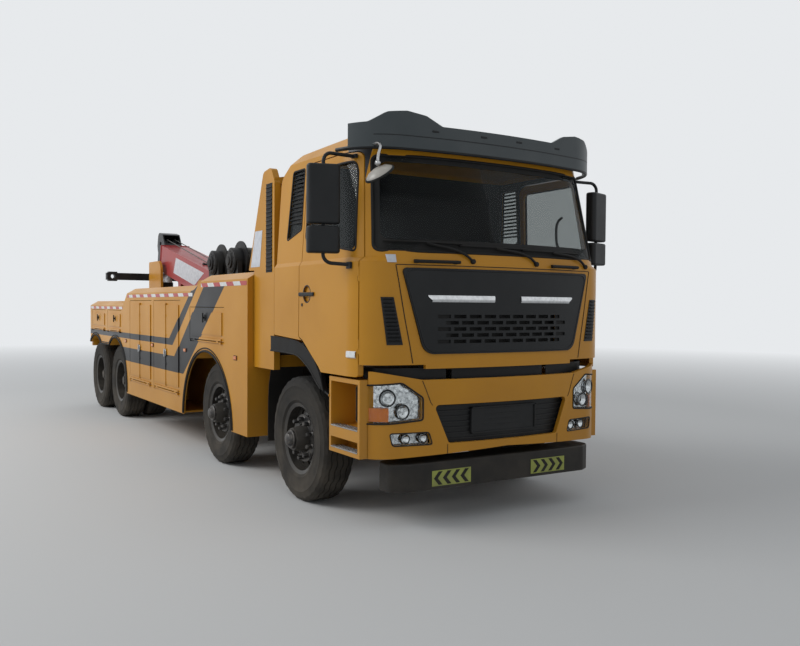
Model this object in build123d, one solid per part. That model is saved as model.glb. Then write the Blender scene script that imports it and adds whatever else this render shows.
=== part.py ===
from build123d import *
import math
import os

# A heavy four-axle tow truck with a tilting cab, a telescopic boom, two winches and a folding underlift.
# +X is forward, +Y is the truck's left, +Z is up. The origin is on the ground, under the middle of the truck.
# Sizes are in millimetres. The front axle's place sets the place of everything along the truck.

# Wheels and axles
axle_1_x = 3518
axle_2_x = axle_1_x - 2000
axle_3_x = axle_1_x - 6350
axle_4_x = axle_1_x - 7700
tyre_radius = 540
tyre_half_width = 150
rim_radius = 292
seat_gap = 0.3
wheel_y = 1060
twin_spacing = 345
kingpin_y = 925
kingpin_radius = 24
hub_z = tyre_radius
stub_radius = 45
axle_tube_radius = 62
drum_radius = 205

# Chassis rails
rail_y = 430
rail_depth = 300
rail_flange = 85
rail_wall = 9
rail_top_z = 985
rail_front_x = axle_1_x + 1100
rail_rear_x = axle_1_x - 8050
spring_y = 430
spring_half_width = 45

# Cab
cab_half_width = 1250
cab_front_x = axle_1_x + 1360
cab_rear_x = axle_1_x - 400
cab_floor_z = 1250
cab_roof_z = 3035
cab_wall = 45
front_bow = 160
corner_radius = 290
windscreen_base_z = 2110
windscreen_top_z = 2850
windscreen_low_y = 1120
windscreen_top_y = 1055
shoulder_low_z = 2030
shoulder_high_z = 2065
shoulder_half_width = 1225
shoulder_front_x = axle_1_x + 1355
shoulder_radius = 360
roof_half_width = 1165
roof_front_x = axle_1_x + 1166
roof_radius = 440
brow_low_z = 2760
brow_high_x = axle_1_x + 1080
tilt_x = axle_1_x + 1150
tilt_z = 800
tilt_arm_y = 490
door_front_x = axle_1_x + 1100
door_rear_x = axle_1_x + 120
door_low_z = 1157
door_top_z = 2880
door_gap = 9
door_hinge_y = 1215
door_hinge_pin = 4.5
door_hinge_radius = 8
door_hinge_zs = (1330, 1880)
door_lean = 150
glass_thickness = 6

# Front end
bumper_half_width = 1192
bumper_front_x = axle_1_x + 1383
bumper_wall = 35
bumper_low_z = 535
bumper_top_z = 1135
bumper_wing_z = 1200
bumper_end_x = axle_1_x + 1142

# Recovery body
body_half_width = 1265
body_front_x = axle_1_x - 1010
body_rear_x = axle_1_x - 8100
body_low_z = 417
body_skin = 20
pontoon_inner_y = 620
ridge_y = 1145
ridge_rise = 70
deck_z = 1160
deck_rear_x = axle_1_x - 7925
deck_thickness = 40
high_top_z = 1950
middle_top_z = 1850
rear_top_z = 1675

# Boom and underlift
boom_pivot_x = axle_1_x - 5150
boom_pivot_z = 1960
boom_slope = 11.8
boom_half_width = 235
boom_depth = 430
boom_wall = 14
boom_length = 2500
boom_pin_radius = 45
frame_plate = 40
frame_plate_y = 300
mast_front_x = axle_1_x - 7150
mast_rear_x = axle_1_x - 7900
mast_top_z = 2420
arm_pivot_x = axle_1_x - 8180
arm_pivot_z = 760
arm_length = 1330
arm_width = 260
arm_depth = 210
arm_wall = 14


def box(x_low, x_high, y_low, y_high, z_low, z_high):
    """A block between two corners."""
    size = Box(x_high - x_low, y_high - y_low, z_high - z_low, align=(Align.MIN, Align.MIN, Align.MIN))
    return Pos(x_low, y_low, z_low) * size


def rounded(points, radius):
    """A closed outline through the points, with its corners rounded."""
    return make_face(FilletPolyline(*points, radius=radius, close=True).edges())


def sharp(points):
    """A closed outline with sharp corners."""
    return make_face(Polyline(*points, close=True).edges())


def across(outline, y_low, y_high):
    """An outline drawn in the side view, as X and Z, filled from one Y to another."""
    return extrude(Plane.XZ.offset(-y_high) * outline, y_high - y_low)


def along(outline, x_low, x_high):
    """An outline drawn in the front view, as Y and Z, filled from one X to another."""
    return extrude(Plane.YZ.offset(x_low) * outline, x_high - x_low)


def upward(outline, z_low, z_high):
    """An outline drawn in plan, as X and Y, filled from one Z to another."""
    return extrude(Plane.XY.offset(z_low) * outline, z_high - z_low)


def bar_y(x, z, radius, y_low, y_high):
    """A round bar across the truck."""
    return across(Pos(x, z) * Circle(radius), y_low, y_high)


def bar_z(x, y, radius, z_low, z_high):
    """An upright round bar."""
    return upward(Pos(x, y) * Circle(radius), z_low, z_high)


def rod(start, end, radius):
    """A round bar between two points."""
    axis = Vector(*end) - Vector(*start)
    return extrude(Plane(origin=start, z_dir=axis) * Circle(radius), axis.length)


def mirrored(shape):
    """The same shape on the other side of the truck."""
    return mirror(shape, about=Plane.XZ)


def both(shape):
    """A right and a left copy."""
    return shape + mirrored(shape)


def save(name, *shapes):
    """One STEP file per sub-part. Its solids touch nothing else in the file."""
    solids = [solid for shape in shapes for solid in shape.solids()]
    whole = solids[0] if len(solids) == 1 else Compound(children=solids)
    export_step(whole, "parts/" + name + ".step")


os.makedirs("parts", exist_ok=True)


# Wheels: a tyre on a rim with a hub, one a side in front and a pair a side behind

def tyre():
    """A tyre: bead, sidewall, shoulder and tread, turned about the axle."""
    bead = rim_radius + seat_gap
    half = [
        (bead, 108),
        (bead + 36, 134),
        (430, tyre_half_width),
        (508, 141),
        (tyre_radius, 108),
    ]
    outline = sharp([(r, w) for r, w in half] + [(r, -w) for r, w in reversed(half)])
    return revolve(outline, Axis.Y)


def rim(dish, hub_bore, hub_reach):
    """A disc wheel: flanged barrel, dished disc with ten hand holes, and its hub."""
    barrel = sharp([(rim_radius, -112), (rim_radius, 112), (rim_radius + 18, 124), (rim_radius + 18, 130),
                    (rim_radius - 14, 118), (rim_radius - 14, -118), (rim_radius + 18, -130),
                    (rim_radius + 18, -124)])
    disc = sharp([(hub_bore, dish - 20), (hub_bore, dish + hub_reach), (95, dish + hub_reach),
                  (120, dish + 12), (190, dish + 12), (rim_radius - 14, dish * 0.5 + 8),
                  (rim_radius - 14, dish * 0.5 - 8), (185, dish - 8), (175, dish - 20)])
    wheel = revolve(barrel, Axis.Y) + revolve(disc, Axis.Y)
    hole = across(Pos(225, 0) * Circle(26), -200, 200)
    return wheel - [Rot(0, 36 * turn, 0) * hole for turn in range(10)]


axle_bore = axle_tube_radius + seat_gap
one_tyre = tyre()
front_rim = rim(60, stub_radius + seat_gap, 130)
outer_twin = mirrored(rim(118, axle_bore, 2))
inner_twin = Pos(0, -twin_spacing, 0) * mirrored(outer_twin)
sleeve = bar_y(0, 0, 115, 110 - twin_spacing, 60) - bar_y(0, 0, axle_bore, -twin_spacing, 70)
twin_rims = outer_twin + inner_twin + sleeve
twin_tyres = [one_tyre, Pos(0, -twin_spacing, 0) * one_tyre]

# Columns: axle number, place along the truck, tyres and rims of the left wheel about its hub
axle_rows = [
    (1, axle_1_x, [one_tyre], front_rim),
    (2, axle_2_x, [one_tyre], front_rim),
    (3, axle_3_x, twin_tyres, twin_rims),
    (4, axle_4_x, twin_tyres, twin_rims),
]
for number, x, tyres, rims in axle_rows:
    hub = Pos(x, wheel_y, hub_z)
    save("tyre_" + str(number) + "_left", *[hub * each for each in tyres])
    save("tyre_" + str(number) + "_right", *[mirrored(hub * each) for each in tyres])
    save("rim_" + str(number) + "_left", hub * rims)
    save("rim_" + str(number) + "_right", mirrored(hub * rims))


# Steering knuckles: a fork on the kingpin, a brake backplate and the stub axle that the wheel turns on

def knuckle(x, sign):
    upright = box(x - 60, x + 60, kingpin_y + 47, kingpin_y + 75, hub_z - 125, hub_z + 125)
    fork = box(x - 45, x + 45, kingpin_y, kingpin_y + 50, hub_z + 84, hub_z + 125)
    fork += bar_z(x, kingpin_y, 45, hub_z + 84, hub_z + 125)
    fork += box(x - 45, x + 45, kingpin_y, kingpin_y + 50, hub_z - 125, hub_z - 84)
    fork += bar_z(x, kingpin_y, 45, hub_z - 125, hub_z - 84)
    pin = bar_z(x, kingpin_y, kingpin_radius, hub_z - 130, hub_z + 130)
    drum = bar_y(x, hub_z, drum_radius, kingpin_y + 75, kingpin_y + 160)
    stub = bar_y(x, hub_z, stub_radius, kingpin_y + 150, wheel_y + 185)
    whole = upright + fork + pin + drum + stub
    return whole if sign > 0 else mirrored(whole)


for number, x in ((1, axle_1_x), (2, axle_2_x)):
    for side, sign in (("right", -1), ("left", 1)):
        save("knuckle_" + str(number) + "_" + side, knuckle(x, sign))


# Axles: two dropped front beams with kingpin eyes, two driven rear housings

def front_beam(x):
    half = 48
    outline = sharp([(0, 360), (330, 360), (700, 455), (kingpin_y, hub_z - 80), (kingpin_y, hub_z + 80),
                     (760, hub_z + 40), (520, 470), (0, 470)])
    beam = along(outline, x - half, x + half)
    beam += bar_z(x, kingpin_y, 40, hub_z - 80, hub_z + 80)
    beam -= bar_z(x, kingpin_y, kingpin_radius + seat_gap, hub_z - 90, hub_z + 90)
    return both(beam)


def rear_housing(x):
    tube = bar_y(x, hub_z, axle_tube_radius, -wheel_y - 90, wheel_y + 90)
    bowl = across(Pos(x, hub_z) * Circle(215), -150, 150)
    bowl = fillet(bowl.edges(), 55)
    nose = extrude(Plane(origin=(x, 0, hub_z), z_dir=(1, 0, 0)) * Circle(110), 330)
    pads = both(box(x - 55, x + 55, spring_y - 55, spring_y + 55, hub_z, hub_z + 80))
    return tube + bowl + nose + pads


front_beams = [front_beam(x) for x in (axle_1_x, axle_2_x)]
rear_housings = [rear_housing(x) for x in (axle_3_x, axle_4_x)]
save("axles", *front_beams, *rear_housings)


# Leaf springs: packs over the front beams, and one pack a side across the rear pair

def leaf_pack(x, z_seat, z_end, reach, thickness):
    """A pack of leaves, thick over its seat and thin at its ends."""
    outline = sharp([(x - reach, z_end), (x - reach, z_end + 22), (x - 120, z_seat + thickness),
                     (x + 120, z_seat + thickness), (x + reach, z_end + 22), (x + reach, z_end),
                     (x + 120, z_seat), (x - 120, z_seat)])
    return both(across(outline, spring_y - spring_half_width, spring_y + spring_half_width))


spring_seat_z = 470
bogie_x = (axle_3_x + axle_4_x) / 2
bogie_reach = (axle_3_x - axle_4_x) / 2 + 60
front_packs = [leaf_pack(x, spring_seat_z, 600, 720, 85) for x in (axle_1_x, axle_2_x)]
bogie_low = 560
bogie_flat = bogie_reach - 140
bogie_outline = sharp([(bogie_x - bogie_reach, hub_z + 80), (bogie_x - bogie_reach, hub_z + 105),
                       (bogie_x - 130, bogie_low + 110), (bogie_x + 130, bogie_low + 110),
                       (bogie_x + bogie_reach, hub_z + 105), (bogie_x + bogie_reach, hub_z + 80),
                       (bogie_x + bogie_flat, hub_z + 80), (bogie_x + 130, bogie_low),
                       (bogie_x - 130, bogie_low), (bogie_x - bogie_flat, hub_z + 80)])
bogie_packs = both(across(bogie_outline, spring_y - spring_half_width, spring_y + spring_half_width))
save("springs", *front_packs, bogie_packs)


# Chassis frame: two channel rails, cross-members, spring hangers, subframe runners and cab pivot ears

def rail():
    low = rail_top_z - rail_depth
    web = box(rail_rear_x, rail_front_x, rail_y - rail_wall, rail_y, low, rail_top_z)
    top = box(rail_rear_x, rail_front_x, rail_y - rail_flange, rail_y, rail_top_z - rail_wall, rail_top_z)
    foot = box(rail_rear_x, rail_front_x, rail_y - rail_flange, rail_y, low, low + rail_wall)
    return web + top + foot


rail_low_z = rail_top_z - rail_depth
frame = both(rail())
for x in (rail_front_x - 60, axle_1_x - 1150, axle_2_x - 900, axle_2_x - 2500, bogie_x, rail_rear_x + 130):
    frame += box(x - 50, x + 50, -rail_y + rail_wall, rail_y - rail_wall, rail_low_z + 60, rail_top_z - 40)
hanger_xs = [axle + side * 700 for axle in (axle_1_x, axle_2_x) for side in (-1, 1)]
for x in hanger_xs:
    hanger = box(x - 40, x + 40, spring_y - 45, spring_y + 45, 622, rail_low_z)
    frame += both(hanger)
trunnion = box(bogie_x - 70, bogie_x + 70, spring_y - 45, spring_y + 45, bogie_low - 90, bogie_low)
trunnion += box(bogie_x - 70, bogie_x + 70, spring_y - 62, spring_y - 47, bogie_low - 90, rail_low_z)
frame += both(trunnion)
frame += bar_y(bogie_x, bogie_low - 45, 40, -spring_y + 40, spring_y - 40)
runner = box(rail_rear_x, axle_1_x - 1200, rail_y - 70, rail_y - 5, rail_top_z, deck_z - deck_thickness)
frame += both(runner)
ear = rounded([(rail_front_x - 120, tilt_z - 60), (tilt_x + 45, tilt_z - 45), (tilt_x + 45, tilt_z + 45),
               (rail_front_x - 120, tilt_z + 60)], [5, 40, 40, 5])
ear = across(ear, rail_y, rail_y + 40)
ear -= bar_y(tilt_x, tilt_z, 25 + seat_gap, rail_y - 1, rail_y + 60)
frame += both(ear)


def front_plan(half_width, front_x, rear_x, bow, radius):
    """The plan of the front: a shallow bow with rounded corners, straight sides and a flat back."""
    arc = ThreePointArc((front_x - bow, -half_width), (front_x, 0), (front_x - bow, half_width))
    sides = Polyline((front_x - bow, half_width), (rear_x, half_width), (rear_x, -half_width),
                     (front_x - bow, -half_width))
    face = make_face(arc.edges() + sides.edges())
    corners = face.vertices().sort_by(Axis.X)[-2:]
    return fillet(corners, radius)


bumper_inner_plan = front_plan(bumper_half_width - bumper_wall, bumper_front_x - bumper_wall,
                               cab_rear_x, front_bow, corner_radius - bumper_wall)
bumper_bracket = box(rail_front_x - 80, bumper_front_x, rail_y - rail_flange + 5, rail_y - 5,
                     rail_top_z - 50, rail_top_z + 70)
bumper_bracket &= upward(offset(bumper_inner_plan, amount=-seat_gap), 500, 1300)
frame += both(bumper_bracket)
save("frame", frame)

engine_low_z = 640
engine = box(axle_1_x - 950, axle_1_x + 820, -300, 300, engine_low_z, 1100)
for x in (axle_1_x - 700, axle_1_x + 450):
    engine += both(box(x, x + 120, 290, rail_y - rail_wall - seat_gap, 740, 800))
save("engine", engine)


# Tanks: a fuel tank and an air tank between the second and third axles, hung inside the lockers

def tank(sign):
    outline = rounded([(-145, -190), (145, -190), (145, 190), (-145, 190)], 60)
    x_low = axle_2_x - 2300
    body = along(Pos(sign * 600, 720) * outline, x_low, x_low + 1150)
    strap_low, strap_high = sorted((sign * rail_y, sign * 460))
    for x in (x_low + 200, x_low + 900):
        body += box(x, x + 60, strap_low, strap_high, 760, 860)
    return body


save("tanks", tank(-1), tank(1))


# Bumper: one curved skin with a low air intake, lamp openings and raised outer corners

bumper = upward(front_plan(bumper_half_width, bumper_front_x, cab_rear_x, front_bow, corner_radius),
                bumper_low_z - 50, bumper_wing_z + 50)
bumper -= upward(bumper_inner_plan, bumper_low_z - 60, bumper_wing_z + 60)
bumper_front_view = sharp([(-1250, bumper_low_z), (-600, 560), (0, 585), (600, 560), (1250, bumper_low_z),
                           (1250, bumper_wing_z), (1130, bumper_wing_z), (770, bumper_top_z),
                           (-770, bumper_top_z), (-1130, bumper_wing_z), (-1250, bumper_wing_z)])
bumper &= along(bumper_front_view, bumper_end_x, bumper_front_x + 10)
intake = rounded([(-550, 640), (550, 640), (680, 940), (-680, 940)], 30)
bumper -= along(intake, axle_1_x + 900, bumper_front_x + 50)
headlamp = rounded([(770, 830), (1010, 810), (1270, 800), (1270, 1090), (940, 1115), (770, 1000)],
                   [25, 25, 5, 5, 40, 40])
fog_lamp = rounded([(690, 640), (1010, 640), (1030, 735), (720, 735)], 20)
for lamp_view in (headlamp, fog_lamp):
    opening = along(lamp_view, axle_1_x + 1000, bumper_front_x + 50)
    bumper -= both(opening)
save("bumper", bumper)

# Lamps: the headlamp and fog lamp units fill their openings, and the tail lamps stand on the rear sill

lamp_depth = 60
lamp_skin = upward(front_plan(bumper_half_width - 3, bumper_front_x - 3, cab_rear_x, front_bow,
                              corner_radius - 3), 500, 1300)
lamp_skin -= upward(front_plan(bumper_half_width - lamp_depth, bumper_front_x - lamp_depth, cab_rear_x,
                               front_bow, corner_radius - lamp_depth), 490, 1310)
lamps = []
for lamp_view in (headlamp, fog_lamp):
    unit = lamp_skin & along(offset(lamp_view, amount=-seat_gap), bumper_end_x + 8, bumper_front_x + 50)
    lamps += [unit, mirrored(unit)]
tail_z = 1010
tail = box(body_rear_x - 45, body_rear_x, 860, 1240, tail_z, tail_z + 130)
lamps += [tail, mirrored(tail)]
save("lamps", *lamps)

# Front underrun bar with its two hanging arms

underrun = rounded([(axle_1_x + 1050, -1020), (axle_1_x + 1240, -1020), (axle_1_x + 1310, -900),
                    (axle_1_x + 1310, 900), (axle_1_x + 1240, 1020), (axle_1_x + 1050, 1020)],
                   [60, 60, 60, 60, 60, 60])
underrun_bar = upward(underrun, 285, 500)
underrun_bar = fillet(underrun_bar.edges().group_by(Axis.Z)[-1], 15)
arm = box(rail_front_x - 200, rail_front_x - 130, rail_y, rail_y + 30, 300, 870)
arm += box(rail_front_x - 200, axle_1_x + 1100, rail_y, rail_y + 30, 300, 480)
underrun_bar += both(arm)
save("underrun_bar", underrun_bar)


# Cab steps with the wheel arch over the front wheel

def step_side():
    x_rear = axle_1_x + 640
    x_front = bumper_end_x - 6
    block = box(x_rear, x_front, 860, 1222, 540, 1135)
    block -= box(x_rear + 30, x_front - 30, 1000, 1300, 745, 1100)
    block -= box(x_rear + 30, x_front - 30, 1060, 1300, 575, 660)
    mount = box(x_rear + 120, x_rear + 200, rail_y + 35, 870, 720, 790)
    arch_in = [(axle_1_x - 505, 1280), (axle_1_x + 30, 1275), (axle_1_x + 280, 1185),
               (axle_1_x + 470, 1045), (axle_1_x + 600, 985), (x_rear + 5, 970)]
    arch_out = [(x_rear + 5, 984), (axle_1_x + 606, 998), (axle_1_x + 478, 1057), (axle_1_x + 286, 1197),
                (axle_1_x + 32, 1287), (axle_1_x - 505, 1292)]
    liner = across(sharp(arch_in + arch_out), 820, 1230)
    lip_out = [(axle_1_x + 570, 1000), (axle_1_x + 505, 1150), (axle_1_x + 180, 1375),
               (axle_1_x - 505, 1415)]
    lip = across(sharp(arch_in[:5] + lip_out), 1200, 1235)
    post = box(axle_1_x - 500, axle_1_x - 455, rail_y + 35, 840, 1200, 1282)
    post += box(axle_1_x - 500, axle_1_x - 455, rail_y, rail_y + 40, 900, 1282)
    mount += box(x_rear + 120, x_rear + 200, rail_y, rail_y + 40, 720, 860)
    return block + mount + liner + lip + post


step = step_side()
save("cab_steps", step, mirrored(step))


# Cab: one form, drawn from the side, in plan and from the front, gives the outer and inner skins

def cab_form(inset, floor_z):
    """The cab's solid form, drawn in by a distance, down to a floor."""
    x_rear = cab_rear_x + inset
    top = cab_roof_z - inset
    # Columns: height, half width, front and corner radius of each plan, from the floor to above the roof
    plans = [
        (floor_z - 10, cab_half_width, cab_front_x, corner_radius),
        (shoulder_low_z, cab_half_width, cab_front_x, corner_radius),
        (shoulder_high_z, shoulder_half_width, shoulder_front_x, shoulder_radius),
        (cab_roof_z + 10, roof_half_width, roof_front_x, roof_radius),
    ]
    faces = [Pos(0, 0, z) * front_plan(half - inset, front - inset, x_rear, front_bow, radius - inset)
             for z, half, front, radius in plans]
    form = loft(faces, ruled=True)
    x_nose = cab_front_x + 20
    side = [(x_rear, floor_z + 180), (axle_1_x + 190 + inset, floor_z + 150),
            (axle_1_x + 440 + inset, floor_z), (x_nose, floor_z), (x_nose, brow_low_z - inset / 2),
            (brow_high_x - inset / 2, top),
            (axle_1_x - 100 + inset, top - 30), (x_rear, top - 210)]
    radii = [20, 60, 20, 5, 5, 60, 120, 120]
    form &= across(rounded(side, radii), -cab_half_width - 60, cab_half_width + 60)
    w = cab_half_width - inset
    front = rounded([(-w, floor_z - 50), (w, floor_z - 50), (w, 2150), (w - 55, 2900), (w - 160, top),
                     (160 - w, top), (55 - w, 2900), (-w, 2150)], [0, 0, 200, 60, 60, 60, 60, 200])
    form &= along(front, cab_rear_x - 10, cab_front_x + 10)
    return form


cab_outer = cab_form(0, cab_floor_z)
cab_inner = cab_form(cab_wall, cab_floor_z + cab_wall)
arm_outline = rounded([(tilt_x - 35, tilt_z - 35), (tilt_x + 40, tilt_z - 35), (tilt_x + 40, tilt_z + 45),
                       (tilt_x - 190, cab_floor_z + 20), (tilt_x - 360, cab_floor_z + 20)],
                      [30, 30, 30, 5, 5])
tilt_arm = across(arm_outline, tilt_arm_y - 15, tilt_arm_y + 15)
tilt_arm += bar_y(tilt_x, tilt_z, 25, rail_y + 2, tilt_arm_y + 25)
cab_shell = cab_outer - cab_inner + tilt_arm + mirrored(tilt_arm)

door_outline_points = [(door_rear_x, 1430), (axle_1_x + 190, 1405), (axle_1_x + 500, 1195),
                       (axle_1_x + 540, door_low_z), (door_front_x, door_low_z), (door_front_x, 2060),
                       (door_front_x - door_lean, door_top_z), (door_rear_x + 20, door_top_z)]
door_radii = [30, 60, 60, 20, 20, 60, 60, 90]
door_outline = rounded(door_outline_points, door_radii)
sill_y = cab_half_width - 110
door_opening = offset(door_outline, amount=door_gap)
door_room = across(door_opening, cab_half_width - 240, cab_half_width + 20)
door_room &= box(door_rear_x - 20, door_front_x + 20, 0, 1400, cab_floor_z + cab_wall, 2900)
sill_room = across(door_opening, sill_y, cab_half_width + 20)
for z in door_hinge_zs:
    hinge_eye = bar_z(door_front_x, door_hinge_y, door_hinge_radius, z, z + 40)
    hinge_eye += box(door_front_x, door_front_x + 50, door_hinge_y - 25, door_hinge_y - 3, z, z + 40)
    hinge_eye += bar_z(door_front_x, door_hinge_y, door_hinge_pin, z, z + 110)
    door_room -= hinge_eye
    sill_room -= hinge_eye
for room in (door_room, sill_room):
    cab_shell -= room
    cab_shell -= mirrored(room)

windscreen_view = rounded([(-windscreen_low_y, windscreen_base_z), (windscreen_low_y, windscreen_base_z),
                           (windscreen_top_y, windscreen_top_z), (-windscreen_top_y, windscreen_top_z)], 60)
cab_shell -= along(windscreen_view, axle_1_x + 900, cab_front_x + 50)
quarter_outline = rounded([(axle_1_x - 205, 2260), (axle_1_x + 85, 2340), (axle_1_x + 85, 2860),
                           (axle_1_x - 150, 2860)], 30)
cab_shell -= both(across(quarter_outline, cab_half_width - 200, cab_half_width + 20))
grille_opening = rounded([(-560, 1402), (560, 1402), (560, 1650), (-560, 1650)], 20)
cab_shell -= along(grille_opening, cab_front_x - 120, cab_front_x + 20)
skirt_plan = front_plan(cab_half_width, cab_front_x, cab_rear_x, front_bow, corner_radius)
skirt = upward(skirt_plan, 1218, cab_floor_z + 5)
skirt -= upward(front_plan(cab_half_width - 30, cab_front_x - 30, cab_rear_x, front_bow,
                           corner_radius - 30), 1210, cab_floor_z + 10)
skirt &= box(axle_1_x + 1100, cab_front_x + 10, -740, 740, 1200, 1300)
cab_shell += skirt
save("cab_shell", cab_shell)

glass_out = cab_form(12, cab_floor_z)
glass_in = cab_form(12 + glass_thickness, cab_floor_z - 60)
glass_skin = glass_out - glass_in
windscreen = glass_skin & along(offset(windscreen_view, amount=-seat_gap), axle_1_x + 950, cab_front_x + 50)
quarter = glass_skin & across(offset(quarter_outline, amount=-seat_gap), 1000, cab_half_width + 20)
save("cab_glass", windscreen, quarter, mirrored(quarter))

# Grille: a black panel on the cab's nose, with rows of staggered slots

grille_view = rounded([(-760, 1330), (760, 1330), (945, 1985), (-945, 1985)], [110, 110, 30, 30])
nose_out = upward(front_plan(cab_half_width + 14, cab_front_x + 14, cab_rear_x, front_bow,
                             corner_radius + 14), 1300, 2050)
nose_in = upward(front_plan(cab_half_width + seat_gap, cab_front_x + seat_gap, cab_rear_x, front_bow,
                            corner_radius + seat_gap), 1290, 2060)
grille = (nose_out - nose_in) & along(grille_view, axle_1_x + 1000, cab_front_x + 50)
slot_rows = 5
for row in range(slot_rows):
    z = 1425 + row * 48
    count = 9
    for column in range(count):
        y = (column - (count - 1) / 2) * 140 + (35 if row % 2 else -35)
        grille -= box(cab_front_x - 200, cab_front_x + 60, y - 55, y + 55, z - 14, z + 14)
save("grille", grille)

# Sun visor: a curved hood across the top of the windscreen, with a hump over each corner of the cab

visor_wall = 28
visor_half_width = 1285
visor_front_x = axle_1_x + 1275
visor_radius = 480
visor_rear_x = axle_1_x + 945
visor_out = front_plan(visor_half_width, visor_front_x, cab_rear_x, front_bow, visor_radius)
visor_in = front_plan(visor_half_width - visor_wall, visor_front_x - visor_wall, cab_rear_x, front_bow,
                      visor_radius - visor_wall)
visor_hump = [(560, 3080), (700, 3150), (860, 3175), (1010, 3160), (1130, 3085), (1320, 3075)]
visor_view = rounded([(1320, 2895), (0, 2890), (-1320, 2895)] + [(-y, z) for y, z in reversed(visor_hump)]
                     + visor_hump, [5, 5, 5] + [5, 60, 60, 80, 60, 60] + [60, 60, 80, 60, 60, 5])
visor = upward(visor_out, 2800, 3300) - upward(visor_in, 2790, 3310)
visor &= along(visor_view, visor_rear_x, visor_front_x + 50)
visor_bridge = box(visor_rear_x + 60, visor_front_x, -1000, 1000, cab_roof_z + seat_gap, cab_roof_z + 20)
visor += visor_bridge & upward(visor_in, 2800, 3300)
save("sun_visor", visor)


# Doors: each is the cab's skin inside the door outline, with its window cut

door_form = across(door_outline, cab_half_width - 300, cab_half_width + 60)
door_skin = cab_form(0, door_low_z - 20) - cab_form(cab_wall - 6, door_low_z - 120)
door = door_skin & door_form
window_outline = rounded([(axle_1_x + 175, 2250), (axle_1_x + 1020, 2110), (axle_1_x + 935, 2735),
                          (axle_1_x + 900, 2810), (axle_1_x + 195, 2810)], [50, 50, 40, 40, 60])
door -= across(window_outline, cab_half_width - 300, cab_half_width + 60)
handle_recess = across(Pos(axle_1_x + 275, 1790) * Circle(75), cab_half_width - 18, cab_half_width + 20)
door -= handle_recess
door += box(axle_1_x + 130, axle_1_x + 420, cab_half_width - 12, cab_half_width + 2, 1770, 1806)
for z in door_hinge_zs:
    door -= bar_z(door_front_x, door_hinge_y, door_hinge_radius + 2, z - 2, z + 42)
    leaf = box(door_front_x - 40, door_front_x, door_hinge_y - 25, door_hinge_y + 2, z + 40 + seat_gap,
               z + 110)
    leaf += bar_z(door_front_x, door_hinge_y, door_hinge_radius, z + 40 + seat_gap, z + 110)
    door += leaf
    door -= bar_z(door_front_x, door_hinge_y, door_hinge_pin + seat_gap, z + 30, z + 115)
door_glass = glass_skin & across(offset(window_outline, amount=-seat_gap), 1000, cab_half_width + 20)


# Door mirrors: a tall and a low housing on one bent arm, fixed to the door above and below the window

def door_mirror():
    x, y = axle_1_x + 910, 1420
    path = FilletPolyline((axle_1_x + 880, 1138, 2850), (x, y, 2850), (x, y, 2020),
                          (axle_1_x + 1015, 1240, 2005), radius=70)
    arm = sweep(Plane(origin=path @ 0, z_dir=path % 0) * Circle(14), path)
    arm += box(axle_1_x + 840, axle_1_x + 920, 1130, 1152, 2835, 2865)
    arm += box(axle_1_x + 985, axle_1_x + 1045, 1244, 1262, 1975, 2025)
    for z_low, z_high in ((2310, 2760), (2090, 2295)):
        head = upward(Pos(x, y) * Rot(0, 0, 108) * RectangleRounded(252, 104, 36), z_low, z_high)
        arm += fillet(head.edges().group_by(Axis.Z)[-1] + head.edges().group_by(Axis.Z)[0], 18)
    return arm


mirror_unit = door_mirror() - door
for side in ("right", "left"):
    hand = mirrored if side == "right" else (lambda shape: shape)
    save("door_" + side, hand(door))
    save("door_glass_" + side, hand(door_glass))
    save("door_mirror_" + side, hand(mirror_unit))


# Cab interior: two seats and a bunk, and a dashboard with the steering wheel

def seat(y):
    cushion = box(axle_1_x + 350, axle_1_x + 830, y - 250, y + 250, 1520, 1640)
    back = across(rounded([(axle_1_x + 250, 1560), (axle_1_x + 360, 1560), (axle_1_x + 300, 2250),
                           (axle_1_x + 200, 2250)], 25), y - 240, y + 240)
    base = box(axle_1_x + 520, axle_1_x + 780, y - 180, y + 180, cab_floor_z + cab_wall, 1520)
    return cushion + back + base


bunk = box(cab_rear_x + 60, axle_1_x + 150, -1100, 1100, cab_floor_z + 180 + cab_wall + seat_gap, 1750)
save("seats", seat(-680), seat(680), bunk)
dash_outline = rounded([(axle_1_x + 1010, 1560), (axle_1_x + 1255, 1560), (axle_1_x + 1255, 1950),
                        (axle_1_x + 1130, 2010), (axle_1_x + 1000, 1900)], 30)
dashboard = across(dash_outline, -1020, 1020) & cab_form(cab_wall + seat_gap, cab_floor_z + cab_wall)
wheel_plane = Plane(origin=(axle_1_x + 850, 680, 1960), z_dir=(-0.55, 0, 0.83))
steering_wheel = wheel_plane * Torus(225, 15)
steering_wheel += wheel_plane * box(-220, 220, -18, 18, -8, 8)
steering_wheel += extrude(wheel_plane.offset(-330) * Circle(28), 335)
dashboard += steering_wheel
dashboard += both(box(axle_1_x + 1040, axle_1_x + 1200, 300, 380, cab_floor_z + cab_wall, 1570))
save("dashboard", dashboard)


# Recovery body: two hollow locker pontoons, a deck between them, wheel arches and locker openings

def side_points(inset):
    """The pontoon seen from the side: three levels of top edge joined by slopes."""
    return [(body_front_x - inset, high_top_z - inset), (axle_1_x - 2400, high_top_z - inset),
            (axle_1_x - 2660, middle_top_z - inset), (axle_1_x - 5650, middle_top_z - inset),
            (axle_1_x - 5880, rear_top_z - inset), (body_rear_x + inset, rear_top_z - inset),
            (body_rear_x + inset, body_low_z + inset), (body_front_x - inset, body_low_z + inset)]


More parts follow.
